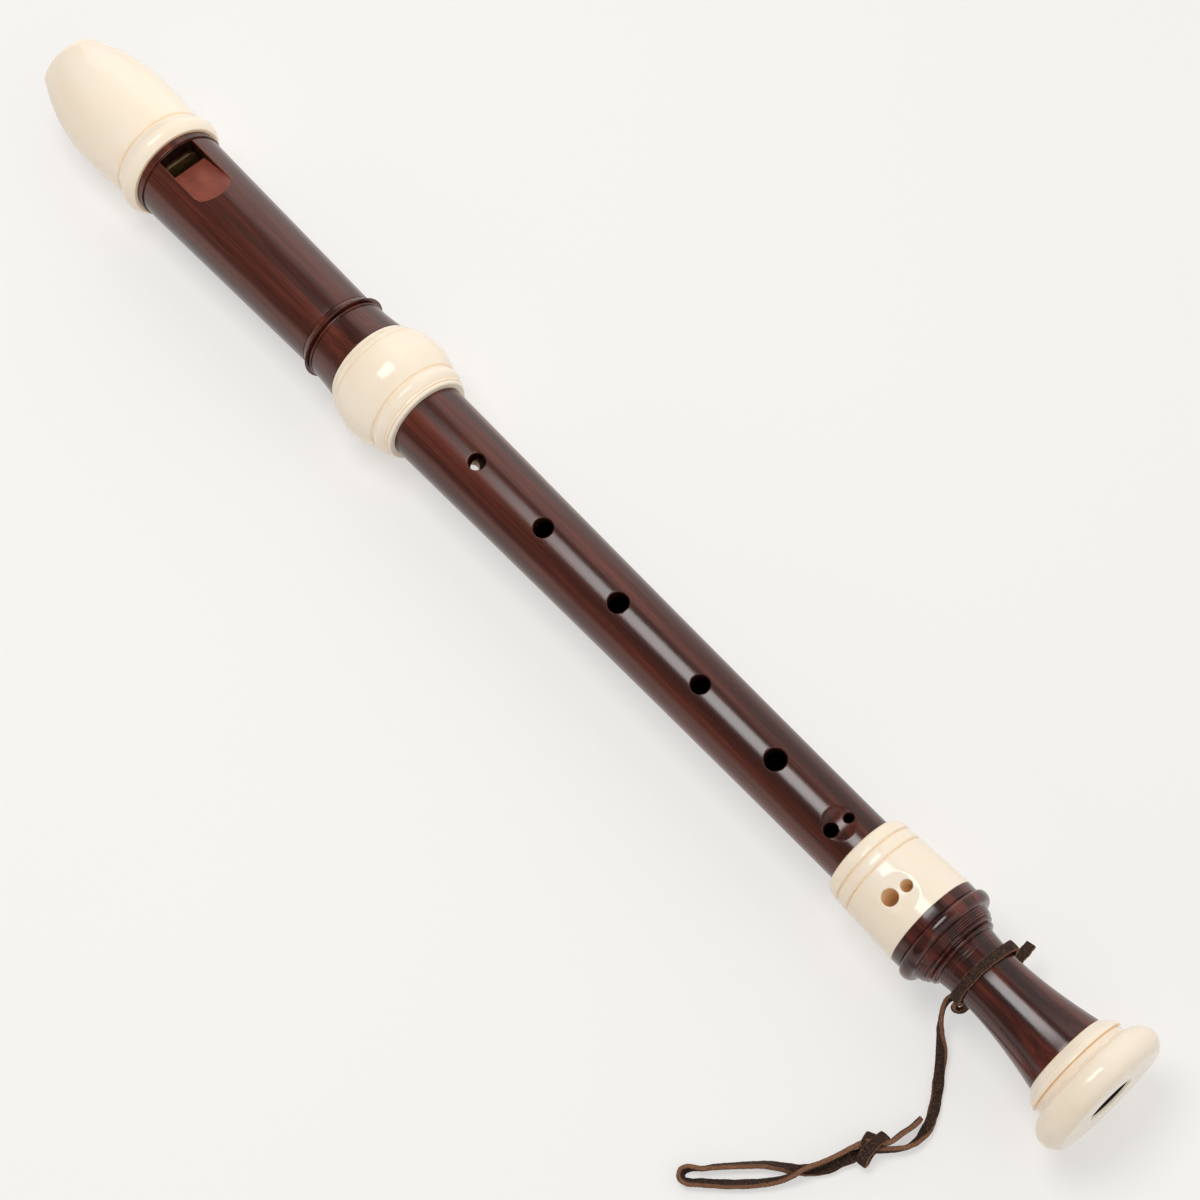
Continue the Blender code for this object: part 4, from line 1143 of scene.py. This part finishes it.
def routed_lace(name, route, leather, seed, taper=0):
    """A run of lace along a route, and the points that it follows in metres."""
    places, rolls = smooth_route(route)
    widths, normals = [], []
    for along, roll in zip(slopes_along(places), rolls):
        level = along.cross(UPWARD).normalized()
        rise = level.cross(along)
        angle = radians(roll)
        widths.append(level * cos(angle) + rise * sin(angle))
        normals.append(rise * cos(angle) - level * sin(angle))
    places = [place + LACE_ORIGIN for place in places]
    item = lace(name, places, widths, normals, leather, seed, taper=taper)
    return item, [place * MM for place in places]


def on_bore(station, angle, radius):
    """A place round the bore, in millimetres in the frame."""
    local = Vector((radius * cos(angle), radius * sin(angle), -station)) * MM
    return (lay_down() @ local) / MM


def make_noose(leather):
    """The lace's turn round the neck, aslant, with a lump where its tail goes under it."""
    places, widths, normals = [], [], []
    for angle in even_angles(NOOSE_STEPS):
        station = NOOSE_STATION + NOOSE_SLANT * sin(angle)
        lump = NOOSE_LUMP * exp(-((angle - NOOSE_LUMP_ANGLE) / NOOSE_LUMP_REACH) ** 2)
        radius = neck_radius(station - NOOSE_FIT) + NOOSE_GAP + LACE_THICKNESS / 2 + lump
        place = on_bore(station, angle, radius)
        places.append(place)
        normals.append((place - on_bore(station, 0.0, 0.0)).normalized())
        widths.append((on_bore(station + 1.0, angle, radius) - place).normalized())
    return lace("thong_noose_band", places, widths, normals, leather, 5, closed=True)


def make_knot(leather):
    """An overhand knot: two turns of lace, aslant over the strands that run through it."""
    made = []
    for number, (far, near, middle, tall) in enumerate(KNOT_WRAPS, 1):
        centre = Vector(((far[0] + near[0]) / 2, (far[1] + near[1]) / 2, middle)) + LACE_ORIGIN
        across = Vector((far[0] - near[0], far[1] - near[1], 0.0))
        reach = across.length / 2
        across.normalize()
        level = across.cross(UPWARD)
        places, normals = [], []
        for angle in even_angles(KNOT_STEPS):
            place = centre + across * (reach * cos(angle)) + UPWARD * (tall * sin(angle))
            places.append(place + level * (KNOT_TWIST * sin(2 * angle + number)))
            outward = across * (cos(angle) / reach) + UPWARD * (sin(angle) / tall)
            normals.append(outward.normalized())
        name = f"thong_knot_wrap_{number}"
        made.append(lace(name, places, [level] * KNOT_STEPS, normals, leather, 10 + number, closed=True))
    return made


def make_thong(leather):
    noose = make_noose(leather)
    cord, cord_path = routed_lace("thong_cord_lace", CORD_ROUTE, leather, 21)
    tail, _ = routed_lace("thong_tail_lace", TAIL_ROUTE, leather, 22)
    hitch, _ = routed_lace("thong_hitch_lace", HITCH_ROUTE, leather, 23)
    knot_tail, _ = routed_lace("thong_knot_tail_lace", KNOT_TAIL_ROUTE, leather, 24, taper=6)
    loop, loop_path = routed_lace("thong_finger_loop_lace", FINGER_LOOP_ROUTE, leather, 25)
    knot = make_knot(leather)
    for piece, node in (
        (noose, "thong_noose"), (cord, "thong_cord"), (tail, "thong_tail"), (hitch, "thong_hitch"),
        (knot_tail, "thong_knot_tail"), (loop, "thong_finger_loop"), (knot[0], "thong_knot"), (knot[1], None),
    ):
        tie(piece, "thong", node)


# Stage


def add_to_stage(name, data, place, rotation):
    item = bpy.data.objects.new(name, data)
    item.location = place
    item.rotation_euler = rotation.to_euler()
    bpy.context.scene.collection.objects.link(item)
    return item


def make_camera():
    data = bpy.data.cameras.new("camera")
    data.lens = CAMERA_LENS
    data.sensor_width = CAMERA_SENSOR
    aim = Vector(CAMERA_FORWARD).to_track_quat("-Z", "Y") @ Quaternion(UPWARD, -CAMERA_ROLL)
    bpy.context.scene.camera = add_to_stage("camera", data, CAMERA_PLACE, aim)


def make_floor():
    shape = bmesh.new()
    bmesh.ops.create_grid(shape, x_segments=1, y_segments=1, size=FLOOR_HALF)
    place = Matrix.Translation((0, 0, FLOOR_Z * MM))
    floor = mesh_object("floor", shape, [new_material("floor", floor_nodes)], place)


def make_lights():
    for name, (place, target, width, height, brightness, reflected) in LIGHTS.items():
        data = bpy.data.lights.new(name, "AREA")
        data.shape = "RECTANGLE"
        data.size = width
        data.size_y = height
        data.energy = brightness * width * height * pi
        aim = (Vector(target) - Vector(place)).to_track_quat("-Z", "Y")
        add_to_stage(name, data, place, aim).visible_glossy = reflected


def make_world():
    """A dim grey world, which the camera sees as a pale backdrop."""
    world = bpy.data.worlds.new("studio")
    world.use_nodes = True
    bpy.context.scene.world = world
    tree = world.node_tree
    light = tree.nodes["Background"]
    fill(tree, light, {"Color": WORLD_GREY})
    seen = add_node(tree, "Background", {"Color": BACKDROP})
    share = add_node(tree, "LightPath", {}).outputs["Is Camera Ray"]
    add_lift(tree, share, light.outputs["Background"], seen.outputs["Background"], "World Output")


def build():
    make_camera()
    make_thong(new_material("thong_leather", leather_nodes))

    head_brown = new_material("head_brown", brown_nodes, colours=BROWN, roughness=0.23)
    middle_brown = new_material("middle_brown", brown_nodes, colours=BROWN, roughness=0.21)
    foot_brown = new_material("foot_brown", brown_nodes, colours=FOOT_BROWN, roughness=0.18)
    cut_brown = new_material("cut_brown", cut_brown_nodes)
    # Painted shade: bores, holes, the windway and the window's walls take this dark brown, also inside the
    # ivory bell
    bore = new_material("bore_painted_shade", bore_shade_nodes)
    ivory = new_material("ivory", ivory_nodes, colours=IVORY, seam=IVORY_PAINTED_SHADE)
    # Painted shade: the ivory's inner faces take a warmer, more orange copy of it
    inside = new_material(
        "ivory_inside_shade", ivory_nodes, colours=SHADED_INSIDE_IVORY, seam=SHADED_INSIDE_IVORY[0],
        depth_weight=0.3, depth=0.003,
    )
    make_beak_cap(ivory, inside)
    make_block(new_material("block_tan", block_nodes))
    make_head_tube(head_brown, cut_brown, bore)
    make_head_ring(ivory, inside)
    make_middle_tube(middle_brown, bore)
    make_thumb_bush(ivory, inside)
    make_foot_sleeve(ivory, inside)
    make_foot_body(foot_brown, bore)
    make_foot_end_ring(ivory, bore)

    make_floor()
    make_lights()
    make_world()
    bpy.context.scene.view_settings.view_transform = "Standard"


build()
